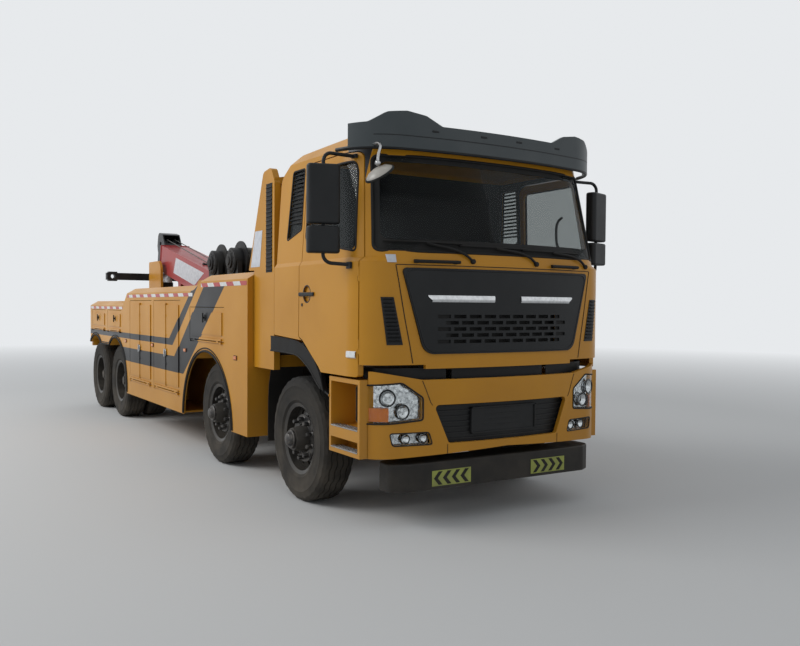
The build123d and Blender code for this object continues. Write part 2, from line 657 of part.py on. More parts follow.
def pontoon_form(inset):
    """The left pontoon's solid form: upright, with a sloping shoulder up to its ridge."""
    ridge = [(x, z + ridge_rise) for x, z in side_points(inset)[:6]] + side_points(inset)[6:]
    ridge_face = Plane.XZ.offset(-(ridge_y - inset)) * sharp(ridge)
    side_face = Plane.XZ.offset(-(body_half_width - inset)) * sharp(side_points(inset))
    low = across(sharp(ridge), pontoon_inner_y + inset, ridge_y - inset)
    return low + loft([ridge_face, side_face], ruled=True)


# Columns: centre along the truck, centre height, radius
arch_rows = [
    (axle_2_x - 225, 400, 785),
    (axle_3_x, 500, 690),
    (axle_4_x, 500, 690),
]


def arches(extra):
    """What the wheels need: round arches and the notch between the rear pair."""
    y_low = pontoon_inner_y - 30
    cut = None
    for x, z, radius in arch_rows:
        ring = across(Pos(x, z) * Circle(radius + extra), y_low, body_half_width + 50)
        cut = ring if cut is None else cut + ring
    notch = box(axle_4_x - 60, axle_3_x + 60, y_low, body_half_width + 50, 300, 1060 + extra)
    rear = box(body_rear_x - 10, axle_4_x, y_low, body_half_width + 50, 300, 560 + extra)
    return cut + notch + rear


# Columns: front and rear of each locker bay, its floor height and its inner wall
bay_rows = [
    (body_front_x, axle_1_x - 1600, 1200, pontoon_inner_y),
    (axle_1_x - 1600, axle_1_x - 3060, 1200, pontoon_inner_y),
    (axle_1_x - 3060, axle_1_x - 4315, body_low_z, 780),
    (axle_1_x - 4315, axle_1_x - 5590, body_low_z, 780),
    (axle_1_x - 5590, axle_1_x - 6900, 1215, pontoon_inner_y),
    (axle_1_x - 6900, body_rear_x, 1215, pontoon_inner_y),
]

pontoon = pontoon_form(0)
low_well = box(body_rear_x - 10, body_front_x + 10, pontoon_inner_y - 10, 760, 300, deck_z - 45)
pontoon -= low_well
inner = pontoon_form(body_skin)
for x_high, x_low, z_floor, y_inner in bay_rows:
    bay = box(x_low + body_skin / 2, x_high - body_skin / 2, y_inner + body_skin, body_half_width,
              z_floor + body_skin, 2100)
    pontoon -= (inner & bay) - arches(body_skin)
pontoon -= arches(0)
front_foot = box(axle_1_x - 1405, body_front_x - body_skin, 760 + body_skin, body_half_width - body_skin,
                 body_low_z + body_skin, 1180)
pontoon -= front_foot
clear_well = box(axle_1_x - 3100, axle_1_x - 1405, pontoon_inner_y - 10, body_half_width - body_skin,
                 300, 1090)
pontoon -= clear_well

# Columns: name, front and rear of the opening, its foot and its head
locker_rows = [
    ("hatch", axle_1_x - 1660, axle_1_x - 2780, 1305, 1672),
    ("tall_door_1", axle_1_x - 3140, axle_1_x - 4270, 640, 1750),
    ("tall_door_2", axle_1_x - 4360, axle_1_x - 5490, 640, 1750),
    ("small_door_1", axle_1_x - 5990, axle_1_x - 6860, 1290, 1610),
    ("small_door_2", axle_1_x - 7010, axle_1_x - 7960, 1290, 1610),
]
locker_gap = 6
locker_hinge_y = body_half_width + 9.5
locker_hinge_drop = 8
locker_pin_radius = 5
for name, x_high, x_low, z_low, z_high in locker_rows:
    pontoon -= box(x_low, x_high, body_half_width - body_skin - 5, body_half_width + 10, z_low, z_high)
    hinge_z = z_low - locker_hinge_drop
    for x in (x_low + 45, x_high - 80):
        block = box(x, x + 35, body_half_width - 10, body_half_width + 21, hinge_z - 14, hinge_z + 8)
        pontoon += block
    pontoon -= rod((x_low + 40, locker_hinge_y, hinge_z), (x_high - 40, locker_hinge_y, hinge_z),
                   locker_pin_radius + seat_gap)

deck = box(deck_rear_x, body_front_x, -pontoon_inner_y - 5, pontoon_inner_y + 5,
           deck_z - deck_thickness, deck_z)
sill_low_z = 1000
heel_y = arm_width / 2 + 12
rear_sill = box(body_rear_x, body_rear_x + 60, -1240, 1240, sill_low_z, deck_z - 20)
rear_sill -= box(body_rear_x - 10, body_rear_x + 70, -pontoon_inner_y, pontoon_inner_y, sill_low_z - 10,
                 deck_z)
shackle_y = 680
shackle_x = body_rear_x - 72
shackle_z = 1060
shackle_radius = 22
shackle_lug = rounded([(body_rear_x + 10, shackle_z - 45), (shackle_x - 38, shackle_z - 45),
                       (shackle_x - 38, shackle_z + 45), (body_rear_x + 10, shackle_z + 45)], [2, 40, 40, 2])
shackle_lug = across(shackle_lug, shackle_y - 15, shackle_y + 15)
shackle_lug -= bar_y(shackle_x, shackle_z, shackle_radius, shackle_y - 20, shackle_y + 20)
wrecker_body = both(pontoon + shackle_lug) + deck + rear_sill
save("wrecker_body", wrecker_body)


# Locker doors: pressed panels hinged along their lower edges, with a stiffening frame and a latch

def locker_door(x_high, x_low, z_low, z_high, panels):
    skin_y = body_half_width - body_skin
    leaf = box(x_low + locker_gap, x_high - locker_gap, skin_y + 2, body_half_width - 2,
               z_low + locker_gap, z_high - locker_gap)
    width = (x_high - x_low - 2 * locker_gap - 60) / panels
    for index in range(panels):
        left = x_low + locker_gap + 30 + index * width
        leaf += box(left + 20, left + width - 20, body_half_width - 4, body_half_width + 8,
                    z_low + 70, z_high - 60)
    leaf += box(x_low + 60, x_high - 60, body_half_width - 4, body_half_width + 14, z_low + 12, z_low + 34)
    for x in (x_low + 150, x_high - 210):
        leaf += box(x, x + 60, body_half_width + 1.5, body_half_width + 11, z_low - locker_hinge_drop,
                    z_low + 20)
    hinge_z = z_low - locker_hinge_drop
    leaf += rod((x_low + 85, locker_hinge_y, hinge_z), (x_high - 85, locker_hinge_y, hinge_z), 7)
    leaf += rod((x_low + 50, locker_hinge_y, hinge_z), (x_high - 50, locker_hinge_y, hinge_z),
                locker_pin_radius)
    return leaf


locker_leaves = {}
for name, x_high, x_low, z_low, z_high in locker_rows:
    panels = 2 if name.startswith("tall") else 1
    locker_leaves[name] = locker_door(x_high, x_low, z_low, z_high, panels)
groups = [("hatch", ["hatch"]), ("tall_door_1", ["tall_door_1"]), ("tall_door_2", ["tall_door_2"]),
          ("small_doors", ["small_door_1", "small_door_2"])]
for group, names in groups:
    leaves = [locker_leaves[name] for name in names]
    save(group + "_left", *leaves)
    save(group + "_right", *[mirrored(leaf) for leaf in leaves])


# Headboard: a portal behind the cab with raked side plates and a slatted guard

head_front_x = axle_1_x - 520
head_outer_y = 1200
head_plate = 60
head_side = rounded([(head_front_x, 1100), (head_front_x, 2830), (head_front_x - 80, 2965),
                     (head_front_x - 260, 2940), (head_front_x - 620, 2030), (head_front_x - 480, 2030),
                     (head_front_x - 480, 1100)], [10, 60, 60, 60, 10, 10, 10])
headboard = both(across(head_side, head_outer_y - head_plate, head_outer_y))
roof_curve = ThreePointArc((-head_outer_y + 5, 2860), (0, 2975), (head_outer_y - 5, 2860))
roof_low = ThreePointArc((head_outer_y - 5, 2800), (0, 2905), (-head_outer_y + 5, 2800))
roof_sides = [Line(roof_curve @ 1, roof_low @ 0), Line(roof_low @ 1, roof_curve @ 0)]
roof_face = make_face(roof_curve.edges() + roof_low.edges() + [line.edge() for line in roof_sides])
roof_arch = along(roof_face, head_front_x - 255, head_front_x - 5)
headboard += roof_arch
guard = box(head_front_x - 90, head_front_x - 60, -head_outer_y + 30, head_outer_y - 30, 1120, 2860)
for row in range(12):
    z = 2020 + row * 64
    for side_y in (-570, 570):
        guard -= box(head_front_x - 100, head_front_x - 50, side_y - 470, side_y + 470, z, z + 34)
headboard += guard
headboard += both(box(head_front_x - 200, head_front_x - 60, rail_y - 60, rail_y + 40, rail_top_z, 1130))
save("headboard", headboard)


# Winches: two drums with flanges between motor and gear ends, on one raised base

winch_axis_z = 2265
winch_xs = [axle_1_x - 3700, axle_1_x - 4420]


def winch(x):
    turns = bar_y(x, winch_axis_z, 150, -300, 300)
    for y in (-310, 290):
        turns += bar_y(x, winch_axis_z, 260, y, y + 20)
    for y_low, y_high in ((-430, -310), (310, 430)):
        turns += bar_y(x, winch_axis_z, 170, y_low, y_high)
        turns += box(x - 190, x + 190, y_low + 20, y_high - 40, winch_top_z, winch_axis_z)
    return turns


winch_top_z = 1980
winch_base = box(axle_1_x - 4760, axle_1_x - 3360, -470, 470, winch_top_z - 40, winch_top_z)
for y in (-450, 410):
    winch_base += across(rounded([(axle_1_x - 4740, deck_z), (axle_1_x - 3380, deck_z),
                                  (axle_1_x - 3380, winch_top_z - 30), (axle_1_x - 4740, winch_top_z - 30)],
                                 [5, 5, 60, 60]), y, y + 40)
winches = winch_base
for x in winch_xs:
    winches += winch(x)
save("winches", winches)


# Boom frame: the pedestal plates that hold the boom's pin, and the mast at the rear that holds the underlift

pedestal_outline = rounded([(boom_pivot_x - 900, deck_z), (boom_pivot_x + 330, deck_z),
                            (boom_pivot_x + 130, boom_pivot_z + 90), (boom_pivot_x - 130, boom_pivot_z + 90)],
                           [20, 20, 90, 90])
pedestal = across(pedestal_outline, frame_plate_y, frame_plate_y + frame_plate)
pedestal -= bar_y(boom_pivot_x, boom_pivot_z, boom_pin_radius + seat_gap, frame_plate_y - 1,
                  frame_plate_y + frame_plate + 1)
mast_outline = rounded([(mast_front_x, deck_z), (mast_front_x - 60, mast_top_z - 120),
                        (mast_front_x - 160, mast_top_z), (mast_rear_x, mast_top_z), (mast_rear_x, deck_z)],
                       [20, 100, 100, 30, 20])
mast_plate = across(mast_outline, frame_plate_y, frame_plate_y + frame_plate)
boom_frame = both(pedestal + mast_plate)
lift_base_x = boom_pivot_x - 620
lift_base_z = deck_z + 95
boom_frame += box(boom_pivot_x - 880, boom_pivot_x + 300, -frame_plate_y - 5, frame_plate_y + 5,
                  deck_z, deck_z + 20)
boom_frame += box(mast_rear_x, mast_rear_x + 40, -frame_plate_y - 5, frame_plate_y + 5, deck_z, 1900)
lift_y = 130
for y in (lift_y - 60, lift_y + 40):
    lug = rounded([(lift_base_x - 90, deck_z + 15), (lift_base_x + 90, deck_z + 15),
                   (lift_base_x + 50, lift_base_z + 50), (lift_base_x - 50, lift_base_z + 50)],
                  [5, 5, 45, 45])
    lug = across(lug, y, y + 20)
    lug -= bar_y(lift_base_x, lift_base_z, 30 + seat_gap, y - 1, y + 21)
    boom_frame += both(lug)
heel_outline = rounded([(body_rear_x - 5, arm_pivot_z - 160), (arm_pivot_x - 60, arm_pivot_z - 100),
                        (arm_pivot_x - 60, arm_pivot_z + 100), (body_rear_x - 5, deck_z + 120),
                        (body_rear_x + 80, deck_z + 120), (body_rear_x + 80, arm_pivot_z - 160)],
                       [20, 60, 60, 20, 5, 5])
heel = across(heel_outline, heel_y, heel_y + frame_plate)
heel -= bar_y(arm_pivot_x, arm_pivot_z, 40 + seat_gap, heel_y - 1, heel_y + frame_plate + 1)
boom_frame += both(heel)
boom_frame += both(box(body_rear_x + 30, mast_rear_x + 30, heel_y, heel_y + frame_plate,
                       deck_z, deck_z + 120))
boom_frame += both(box(body_rear_x + 30, mast_rear_x + 30, heel_y, frame_plate_y + 10, deck_z, deck_z + 40))
save("boom_frame", boom_frame)


# Boom: a welded box that rises to the rear, with its pivot boss, and the inner boom with its sheave head

boom_plane = Plane(origin=(boom_pivot_x, 0, boom_pivot_z), x_dir=(-math.cos(math.radians(boom_slope)), 0,
                   math.sin(math.radians(boom_slope))), z_dir=(0, 1, 0))


def on_boom(outline, y_low, y_high):
    """An outline along the boom, as reach from the pin and height square to it, filled across the truck."""
    return extrude(boom_plane.offset(y_low) * outline, y_high - y_low)


boom_low = -200
boom_high = boom_low + boom_depth
outer_outline = rounded([(-150, -90), (350, boom_low), (boom_length, boom_low), (boom_length, boom_high),
                         (-60, boom_high), (-150, 120)], [90, 60, 5, 5, 120, 60])
boom = on_boom(outer_outline, -boom_half_width, boom_half_width)
bore_outline = rounded([(330, boom_low + boom_wall), (boom_length + 10, boom_low + boom_wall),
                        (boom_length + 10, boom_high - boom_wall), (330, boom_high - boom_wall)],
                       [5, 1, 1, 5])
boom -= on_boom(bore_outline, -boom_half_width + boom_wall, boom_half_width - boom_wall)
boom_pin_y = frame_plate_y + frame_plate
boom += bar_y(boom_pivot_x, boom_pivot_z, boom_pin_radius, -boom_pin_y, boom_pin_y)
lift_eye_reach = 1500
lift_eye_height = boom_low - 70
for y in (lift_y - 60, lift_y + 40):
    lug = rounded([(lift_eye_reach - 90, boom_low + 5), (lift_eye_reach + 90, boom_low + 5),
                   (lift_eye_reach + 45, lift_eye_height - 45), (lift_eye_reach - 45, lift_eye_height - 45)],
                  [5, 5, 40, 40])
    lug = on_boom(lug, y, y + 20)
    boom += both(lug)
save("boom", boom)

inner_gap = seat_gap
tip_reach = boom_length + 190
inner_low = boom_low + boom_wall + inner_gap
inner_high = boom_high - boom_wall - inner_gap
inner_half = boom_half_width - boom_wall - inner_gap
inner_outline = rounded([(600, inner_low), (tip_reach, inner_low), (tip_reach, inner_high),
                         (600, inner_high)], [5, 30, 30, 5])
extension = on_boom(inner_outline, -inner_half, inner_half)
head_half = 150
head_plate_wall = 16
head_outline = rounded([(boom_length + 60, 60), (boom_length + 450, 40), (boom_length + 510, 150),
                        (boom_length + 495, 340), (boom_length + 430, 390), (boom_length + 250, 390),
                        (boom_length + 160, 300), (boom_length + 60, 205)], [10, 50, 60, 50, 30, 40, 30, 10])
head_room = rounded([(boom_length + 205, 20), (boom_length + 435, 20), (boom_length + 494, 150),
                     (boom_length + 480, 332), (boom_length + 422, 375), (boom_length + 110, 375),
                     (boom_length + 110, 232), (boom_length + 205, 232)], [5, 30, 55, 45, 25, 5, 5, 5])
head = on_boom(head_outline, -head_half, head_half)
head -= on_boom(head_room, -head_half + head_plate_wall, head_half - head_plate_wall)
extension += head
sheave_centre = (boom_length + 350, 215)
for y in (-75, 75):
    extension += on_boom(Pos(*sheave_centre) * Circle(84), y - 18, y + 18)
    for rim_y in (-26, 14):
        extension += on_boom(Pos(*sheave_centre) * Circle(104), y + rim_y, y + rim_y + 12)
extension += on_boom(Pos(*sheave_centre) * Circle(30), -head_half - 14, head_half + 14)
save("boom_extension", extension)

# Lift cylinders: a pair of barrels pinned to the pedestal, and their rods, open at the boom's lugs

boom_x_dir = boom_plane.x_dir
boom_y_dir = boom_plane.y_dir
lift_eye = boom_plane.origin + boom_x_dir * lift_eye_reach + boom_y_dir * lift_eye_height
lift_eye_x, lift_eye_z = lift_eye.X, lift_eye.Z
lift_length = math.hypot(lift_eye_x - lift_base_x, lift_eye_z - lift_base_z)
lift_dir = Vector(lift_eye_x - lift_base_x, 0, lift_eye_z - lift_base_z).normalized()
barrel_radius = 58
neck_radius = 32
rod_radius = 34


def lift_point(reach, y):
    point = Vector(lift_base_x, y, lift_base_z) + lift_dir * reach
    return (point.X, point.Y, point.Z)


barrel_reach = lift_length - 180
barrel_low = 125
barrels = []
rods = []
for y in (-lift_y, lift_y):
    eye = bar_y(lift_base_x, lift_base_z, 48, y - 36, y + 36)
    pin = bar_y(lift_base_x, lift_base_z, 30, y - 62, y + 62)
    tube = rod(lift_point(30, y), lift_point(barrel_low + 10, y), neck_radius)
    tube += rod(lift_point(barrel_low, y), lift_point(barrel_reach, y), barrel_radius)
    tube -= rod(lift_point(barrel_low + 30, y), lift_point(barrel_reach + 5, y), rod_radius + seat_gap)
    barrels.append(eye + pin + tube)
    stem = rod(lift_point(barrel_low + 115, y), lift_point(lift_length - 20, y), rod_radius)
    stem += bar_y(lift_eye_x, lift_eye_z, 36, y - 36, y + 36)
    rods.append(stem)
save("lift_barrels", *barrels)
save("lift_rods", *rods)

# Underlift: the arm stands upright on its heel pin, the extension slides in it and carries the crossbar

arm_half = arm_width / 2
arm = box(arm_pivot_x - arm_depth / 2, arm_pivot_x + arm_depth / 2, -arm_half, arm_half, arm_pivot_z,
          arm_pivot_z + arm_length)
arm += bar_y(arm_pivot_x, arm_pivot_z, arm_depth / 2 - 15, -arm_half, arm_half)
bore_half_depth = arm_depth / 2 - arm_wall
bore_half_width = arm_half - arm_wall
arm -= box(arm_pivot_x - bore_half_depth, arm_pivot_x + bore_half_depth, -bore_half_width, bore_half_width,
           arm_pivot_z + 180, arm_pivot_z + arm_length + 10)
arm += bar_y(arm_pivot_x, arm_pivot_z, 40, -heel_y - frame_plate, heel_y + frame_plate)
save("underlift_arm", arm)
slide_gap = seat_gap
slide_half_depth = bore_half_depth - slide_gap
slide_half_width = bore_half_width - slide_gap
slide_top_z = arm_pivot_z + arm_length + 160
slide = box(arm_pivot_x - slide_half_depth, arm_pivot_x + slide_half_depth, -slide_half_width,
            slide_half_width, arm_pivot_z + 200, slide_top_z)
swivel_x = arm_pivot_x - slide_half_depth
slide += rod((swivel_x + 5, 0, slide_top_z - 70), (swivel_x - 150, 0, slide_top_z - 70), 40)
save("underlift_extension", slide)
crossbar = box(swivel_x - 140, swivel_x - 24, -950, 950, slide_top_z - 130, slide_top_z - 10)
crossbar -= rod((swivel_x, 0, slide_top_z - 70), (swivel_x - 145, 0, slide_top_z - 70), 40 + seat_gap)
fork_socket_y = 850
fork_socket_radius = 38
for y in (-fork_socket_y, fork_socket_y):
    crossbar += box(swivel_x - 150, swivel_x - 24, y - 70, y + 70, slide_top_z - 150, slide_top_z + 10)
    crossbar -= rod((swivel_x, y, slide_top_z - 70), (swivel_x - 160, y, slide_top_z - 70),
                    fork_socket_radius)
save("crossbar", crossbar)
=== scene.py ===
import bpy
import math
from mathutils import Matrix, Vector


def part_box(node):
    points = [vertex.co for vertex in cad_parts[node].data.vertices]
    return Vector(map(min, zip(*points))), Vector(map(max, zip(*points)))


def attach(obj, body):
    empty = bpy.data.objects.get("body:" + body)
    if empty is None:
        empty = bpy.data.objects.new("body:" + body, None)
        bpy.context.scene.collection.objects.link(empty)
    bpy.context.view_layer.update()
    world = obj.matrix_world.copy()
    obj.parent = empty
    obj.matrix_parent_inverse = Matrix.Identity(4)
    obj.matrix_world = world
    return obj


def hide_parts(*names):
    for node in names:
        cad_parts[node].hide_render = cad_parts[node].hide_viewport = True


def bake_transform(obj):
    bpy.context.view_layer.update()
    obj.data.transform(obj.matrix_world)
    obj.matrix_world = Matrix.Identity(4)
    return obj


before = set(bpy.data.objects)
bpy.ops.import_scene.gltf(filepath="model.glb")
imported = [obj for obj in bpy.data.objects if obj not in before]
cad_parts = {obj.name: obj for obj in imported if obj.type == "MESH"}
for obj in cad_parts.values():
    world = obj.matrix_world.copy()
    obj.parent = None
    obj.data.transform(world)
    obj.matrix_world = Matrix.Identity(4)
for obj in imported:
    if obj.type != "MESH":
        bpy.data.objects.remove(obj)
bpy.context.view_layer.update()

# Tyres: twelve radials of black rubber, one a side on the front axles and pairs on the rear ones.
# The tread is moulded in ribs between four zigzag grooves, with notches along its shoulders.
# Each takes the place of the plain ring that stands for it in the frame.
sides = {"right": -1, "left": 1}
tyre_radius = 0.540
tyre_half_width = 0.150
twin_spacing = 0.345
bead_radius = 0.2925
tyre_half = [(bead_radius, 0.106), (0.312, 0.130), (0.330, 0.138), (0.336, 0.143), (0.345, 0.141),
             (0.380, 0.147), (0.420, 0.150), (0.450, 0.149), (0.456, 0.1515), (0.462, 0.148), (0.500, 0.142),
             (0.512, 0.139), (0.517, 0.133), (tyre_radius - 0.005, 0.118)]
tread_steps = 96
groove_places = [0.079, 0.027]
groove_half = 0.0055
groove_depth = 0.013
groove_zigzag = 0.006
ribs_half_width = 0.1
shoulder_from = 0.110
shoulder_notch = 0.985


def bare():
    """Leaves nothing selected."""
    bpy.ops.object.select_all(action="DESELECT")


def take(piece):
    """Selects one piece alone and makes it the active one."""
    bare()
    piece.select_set(True)
    bpy.context.view_layer.objects.active = piece


def joined(pieces):
    """Several pieces made one mesh."""
    bare()
    for piece in pieces:
        piece.select_set(True)
    bpy.context.view_layer.objects.active = pieces[0]
    bpy.ops.object.join()
    return pieces[0]


def settle(piece, name, body, finish):
    """Puts a piece's place into its mesh, then gives it its finish, its slot and, if just one, its body."""
    take(piece)
    bpy.ops.object.transform_apply(location=True, rotation=True, scale=True)
    piece.name = name
    piece.data.name = name
    piece.data.materials.clear()
    piece.data.materials.append(finish)
    if body:
        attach(piece, body)


def mix_in(material, factor, colour):
    """Lays a colour over what the finish has so far, by a factor between 0 and 1."""
    nodes, links = material.node_tree.nodes, material.node_tree.links
    shader = nodes["Principled BSDF"]
    mix = nodes.new("ShaderNodeMix")
    mix.data_type = "RGBA"
    mix.inputs[7].default_value = (*colour, 1)
    links.new(shader.inputs["Base Color"].links[0].from_socket, mix.inputs[6])
    links.new(factor, mix.inputs[0])
    links.new(mix.outputs[2], shader.inputs["Base Color"])


def maths(material, operation, first, second=0.0):
    """One sum on two values, each a number or another node's output."""
    node = material.node_tree.nodes.new("ShaderNodeMath")
    node.operation = operation
    for socket, value in zip(node.inputs, (first, second)):
        if isinstance(value, (int, float)):
            socket.default_value = value
        else:
            material.node_tree.links.new(value, socket)
    return node.outputs[0]


def noise(material, scale, detail):
    """A soft random value over the piece."""
    nodes, links = material.node_tree.nodes, material.node_tree.links
    place = nodes.new("ShaderNodeTexCoord")
    texture = nodes.new("ShaderNodeTexNoise")
    texture.inputs["Scale"].default_value = scale
    texture.inputs["Detail"].default_value = detail
    links.new(place.outputs["Object"], texture.inputs["Vector"])
    return texture.outputs["Fac"]


def spread(material, value, low, high, to_low=0.0, to_high=1.0):
    """Stretches a value's range and cuts off what lies outside."""
    node = material.node_tree.nodes.new("ShaderNodeMapRange")
    for name, number in zip(("From Min", "From Max", "To Min", "To Max"), (low, high, to_low, to_high)):
        node.inputs[name].default_value = number
    material.node_tree.links.new(value, node.inputs["Value"])
    return node.outputs["Result"]


def object_axis(material, axis):
    """The place along one axis of the truck, in metres."""
    nodes = material.node_tree.nodes
    place = nodes.new("ShaderNodeTexCoord")
    parts = nodes.new("ShaderNodeSeparateXYZ")
    material.node_tree.links.new(place.outputs["Object"], parts.inputs[0])
    return parts.outputs[axis]


road_dust = (0.16, 0.135, 0.105)
dust_top = 1.3


def finish_of(name, clean, worn, rough, metal=0.0, coat=0.0, patch=2.5, grain=300.0, depth=0.15, dust=0.35,
              gloss=0.25):
    """A finish that drifts between two colours in patches, with a fine grain, and road dust low down."""
    material = bpy.data.materials.new(name)
    material.use_nodes = True
    nodes, links = material.node_tree.nodes, material.node_tree.links
    shader = nodes["Principled BSDF"]
    shader.inputs["Metallic"].default_value = metal
    shader.inputs["Coat Weight"].default_value = coat
    shader.inputs["Coat Roughness"].default_value = 0.12
    shader.inputs["Specular IOR Level"].default_value = gloss
    patches = noise(material, patch, 7.0)
    colours = nodes.new("ShaderNodeMix")
    colours.data_type = "RGBA"
    colours.inputs[6].default_value = (*clean, 1)
    colours.inputs[7].default_value = (*worn, 1)
    links.new(spread(material, patches, 0.38, 0.68), colours.inputs[0])
    links.new(colours.outputs[2], shader.inputs["Base Color"])
    links.new(spread(material, patches, 0.3, 0.7, rough - 0.05, rough + 0.10), shader.inputs["Roughness"])
    bump = nodes.new("ShaderNodeBump")
    bump.inputs["Strength"].default_value = depth
    bump.inputs["Distance"].default_value = 0.002
    links.new(noise(material, grain, 3.0), bump.inputs["Height"])
    links.new(bump.outputs["Normal"], shader.inputs["Normal"])
    if dust:
        low = spread(material, object_axis(material, "Z"), 0.05, dust_top, dust, 0.0)
        cloud = spread(material, noise(material, 5.0, 8.0), 0.35, 0.65, 0.35, 1.0)
        mix_in(material, maths(material, "MULTIPLY", low, cloud), road_dust)
    return material


def face_outwards():
    """Turns every face of the active piece outwards."""
    bpy.ops.object.mode_set(mode="EDIT")
    bpy.ops.mesh.select_all(action="SELECT")
    bpy.ops.mesh.normals_make_consistent(inside=False)
    bpy.ops.object.mode_set(mode="OBJECT")


def spun(section, steps):
    """A round piece about Y from its section of radius and place, closed where it meets the axis."""
    bare()
    bpy.ops.mesh.primitive_circle_add(vertices=len(section), fill_type="NOTHING")
    piece = bpy.context.object
    for vertex, (radius, y) in zip(piece.data.vertices, section):
        vertex.co = (0, y, radius)
    bpy.ops.object.mode_set(mode="EDIT")
    bpy.ops.mesh.select_all(action="SELECT")
    bpy.ops.mesh.spin(steps=steps, angle=math.tau, center=(0, 0, 0), axis=(0, 1, 0))
    bpy.ops.mesh.select_all(action="SELECT")
    bpy.ops.mesh.remove_doubles(threshold=0.00005)
    bpy.ops.mesh.delete_loose(use_verts=True, use_edges=True, use_faces=False)
    bpy.ops.object.mode_set(mode="OBJECT")
    face_outwards()
    return piece


def moulded_tyre():
    """One tyre at the origin: half its section, then the ribs, then the other half, spun about Y."""
    section = list(tyre_half)
    for y in groove_places + [-y for y in reversed(groove_places)]:
        section += [(tyre_radius, y + groove_half), (tyre_radius - groove_depth, y + groove_half * 0.7),
                    (tyre_radius - groove_depth, y - groove_half * 0.7), (tyre_radius, y - groove_half)]
    section += [(radius, -y) for radius, y in reversed(tyre_half)]
    tyre = spun(section, tread_steps)
    for vertex in tyre.data.vertices:
        x, y, z = vertex.co
        radius = math.hypot(x, z)
        step = round(math.atan2(x, z) / math.tau * tread_steps)
        if radius > tyre_radius - 0.02 and abs(y) < ribs_half_width:
            vertex.co.y += groove_zigzag * (1 if step % 4 < 2 else -1)
        if radius > 0.5 and abs(y) > shoulder_from and step % 3 == 0:
            vertex.co = (x * shoulder_notch, y, z * shoulder_notch)
    bpy.ops.object.shade_smooth_by_angle(angle=math.radians(32))
    return tyre


def copies_at(model, places):
    """Copies of a model at places across the truck, joined as one mesh."""
    copies = []
    for y in places:
        piece = model.copy()
        piece.data = model.data.copy()
        piece.location = (0, y, 0)
        bpy.context.collection.objects.link(piece)
        copies.append(piece)
    return joined(copies) if len(copies) > 1 else copies[0]


tyre_rubber = finish_of("tyre_rubber", (0.008, 0.008, 0.008), (0.020, 0.019, 0.017), 0.78, grain=500,
                        depth=0.25, dust=0.40)
axle_places = {}
tyre_model = moulded_tyre()
for axle in (1, 2, 3, 4):
    for side, sign in sides.items():
        node = "tyre_%d_%s" % (axle, side)
        low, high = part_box(node)
        axle_places[axle] = (low.x + high.x) / 2
        outer_y = sign * (max(abs(low.y), abs(high.y)) - tyre_half_width)
        pair = (outer_y, outer_y - sign * twin_spacing)
        tread = copies_at(tyre_model, pair if axle > 2 else pair[:1])
        tread.location.x += axle_places[axle]
        tread.location.z += tyre_radius
        settle(tread, node + "_moulded", "wheel_%d_%s" % (axle, side), tyre_rubber)
        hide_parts(node)
bpy.data.objects.remove(tyre_model)
front_axle = axle_places[1]

# Rims: disc wheels of pressed steel with ten hand holes, painted satin black.
# Ten long nuts hold each one, under sleeves on the front wheels, round a capped hub.
rim_paint = finish_of("rim_paint", (0.014, 0.014, 0.014), (0.034, 0.032, 0.029), 0.42, coat=0.2, patch=6,
                      dust=0.35)
nut_steel = finish_of("nut_steel", (0.06, 0.06, 0.062), (0.14, 0.13, 0.12), 0.35, metal=0.8, patch=30,
                      dust=0.2)
nut_count = 10
nut_circle = 0.1675
wheel_middle_y = 1.060
sleeve_section = [(0, 0), (0.024, 0), (0.024, 0.012), (0.019, 0.016), (0.019, 0.058), (0.015, 0.066),
                  (0, 0.066)]
nut_section = [(0, 0), (0.022, 0), (0.022, 0.006), (0.017, 0.008), (0.017, 0.036), (0.011, 0.038),
               (0.011, 0.052), (0, 0.052)]
ring_section = [(0.130, 0), (0.205, 0), (0.208, 0.006), (0.205, 0.012), (0.130, 0.012)]
cap_section = [(0, 0), (0.082, 0), (0.082, 0.022), (0.076, 0.030), (0.060, 0.030), (0.052, 0.052),
               (0.040, 0.060), (0, 0.062)]
rear_cap_section = [(0, 0), (0.112, 0), (0.112, 0.014), (0.104, 0.020), (0.080, 0.022), (0.074, 0.034),
                    (0, 0.036)]


def lathe(section, steps, place=(0, 0, 0)):
    """A turned piece, smooth but for its sharp edges."""
    piece = spun(section, steps)
    bpy.ops.object.shade_smooth_by_angle(angle=math.radians(35))
    piece.location = place
    return piece


def dress(names, finish):
    """Gives solids of the frame their finish."""
    for name in names:
        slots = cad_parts[name].data.materials
        slots.clear()
        slots.append(finish)


for axle, axle_x in axle_places.items():
    steered = axle < 3
    seat_y = wheel_middle_y + 0.072 if steered else wheel_middle_y - 0.106
    for side, sign in sides.items():
        dress(["rim_%d_%s" % (axle, side)], rim_paint)
        pieces = []
        for index in range(nut_count):
            turn = math.tau * index / nut_count
            nut_place = (nut_circle * math.sin(turn), seat_y, nut_circle * math.cos(turn))
            pieces.append(lathe(sleeve_section if steered else nut_section, 12, nut_place))
        if steered:
            pieces.append(lathe(ring_section, 48, (0, seat_y - 0.001, 0)))
            pieces.append(lathe(cap_section, 32, (0, wheel_middle_y + 0.186, 0)))
        else:
            pieces.append(lathe(rear_cap_section, 32, (0, wheel_middle_y, 0)))
        nuts = joined(pieces)
        bpy.ops.object.transform_apply(location=True)
        if sign < 0:
            nuts.scale.y = -1
            bpy.ops.object.transform_apply(scale=True)
            face_outwards()
        nuts.location = (axle_x, 0, tyre_radius)
        settle(nuts, "wheel_nuts_%d_%s" % (axle, side), "wheel_%d_%s" % (axle, side), nut_steel)

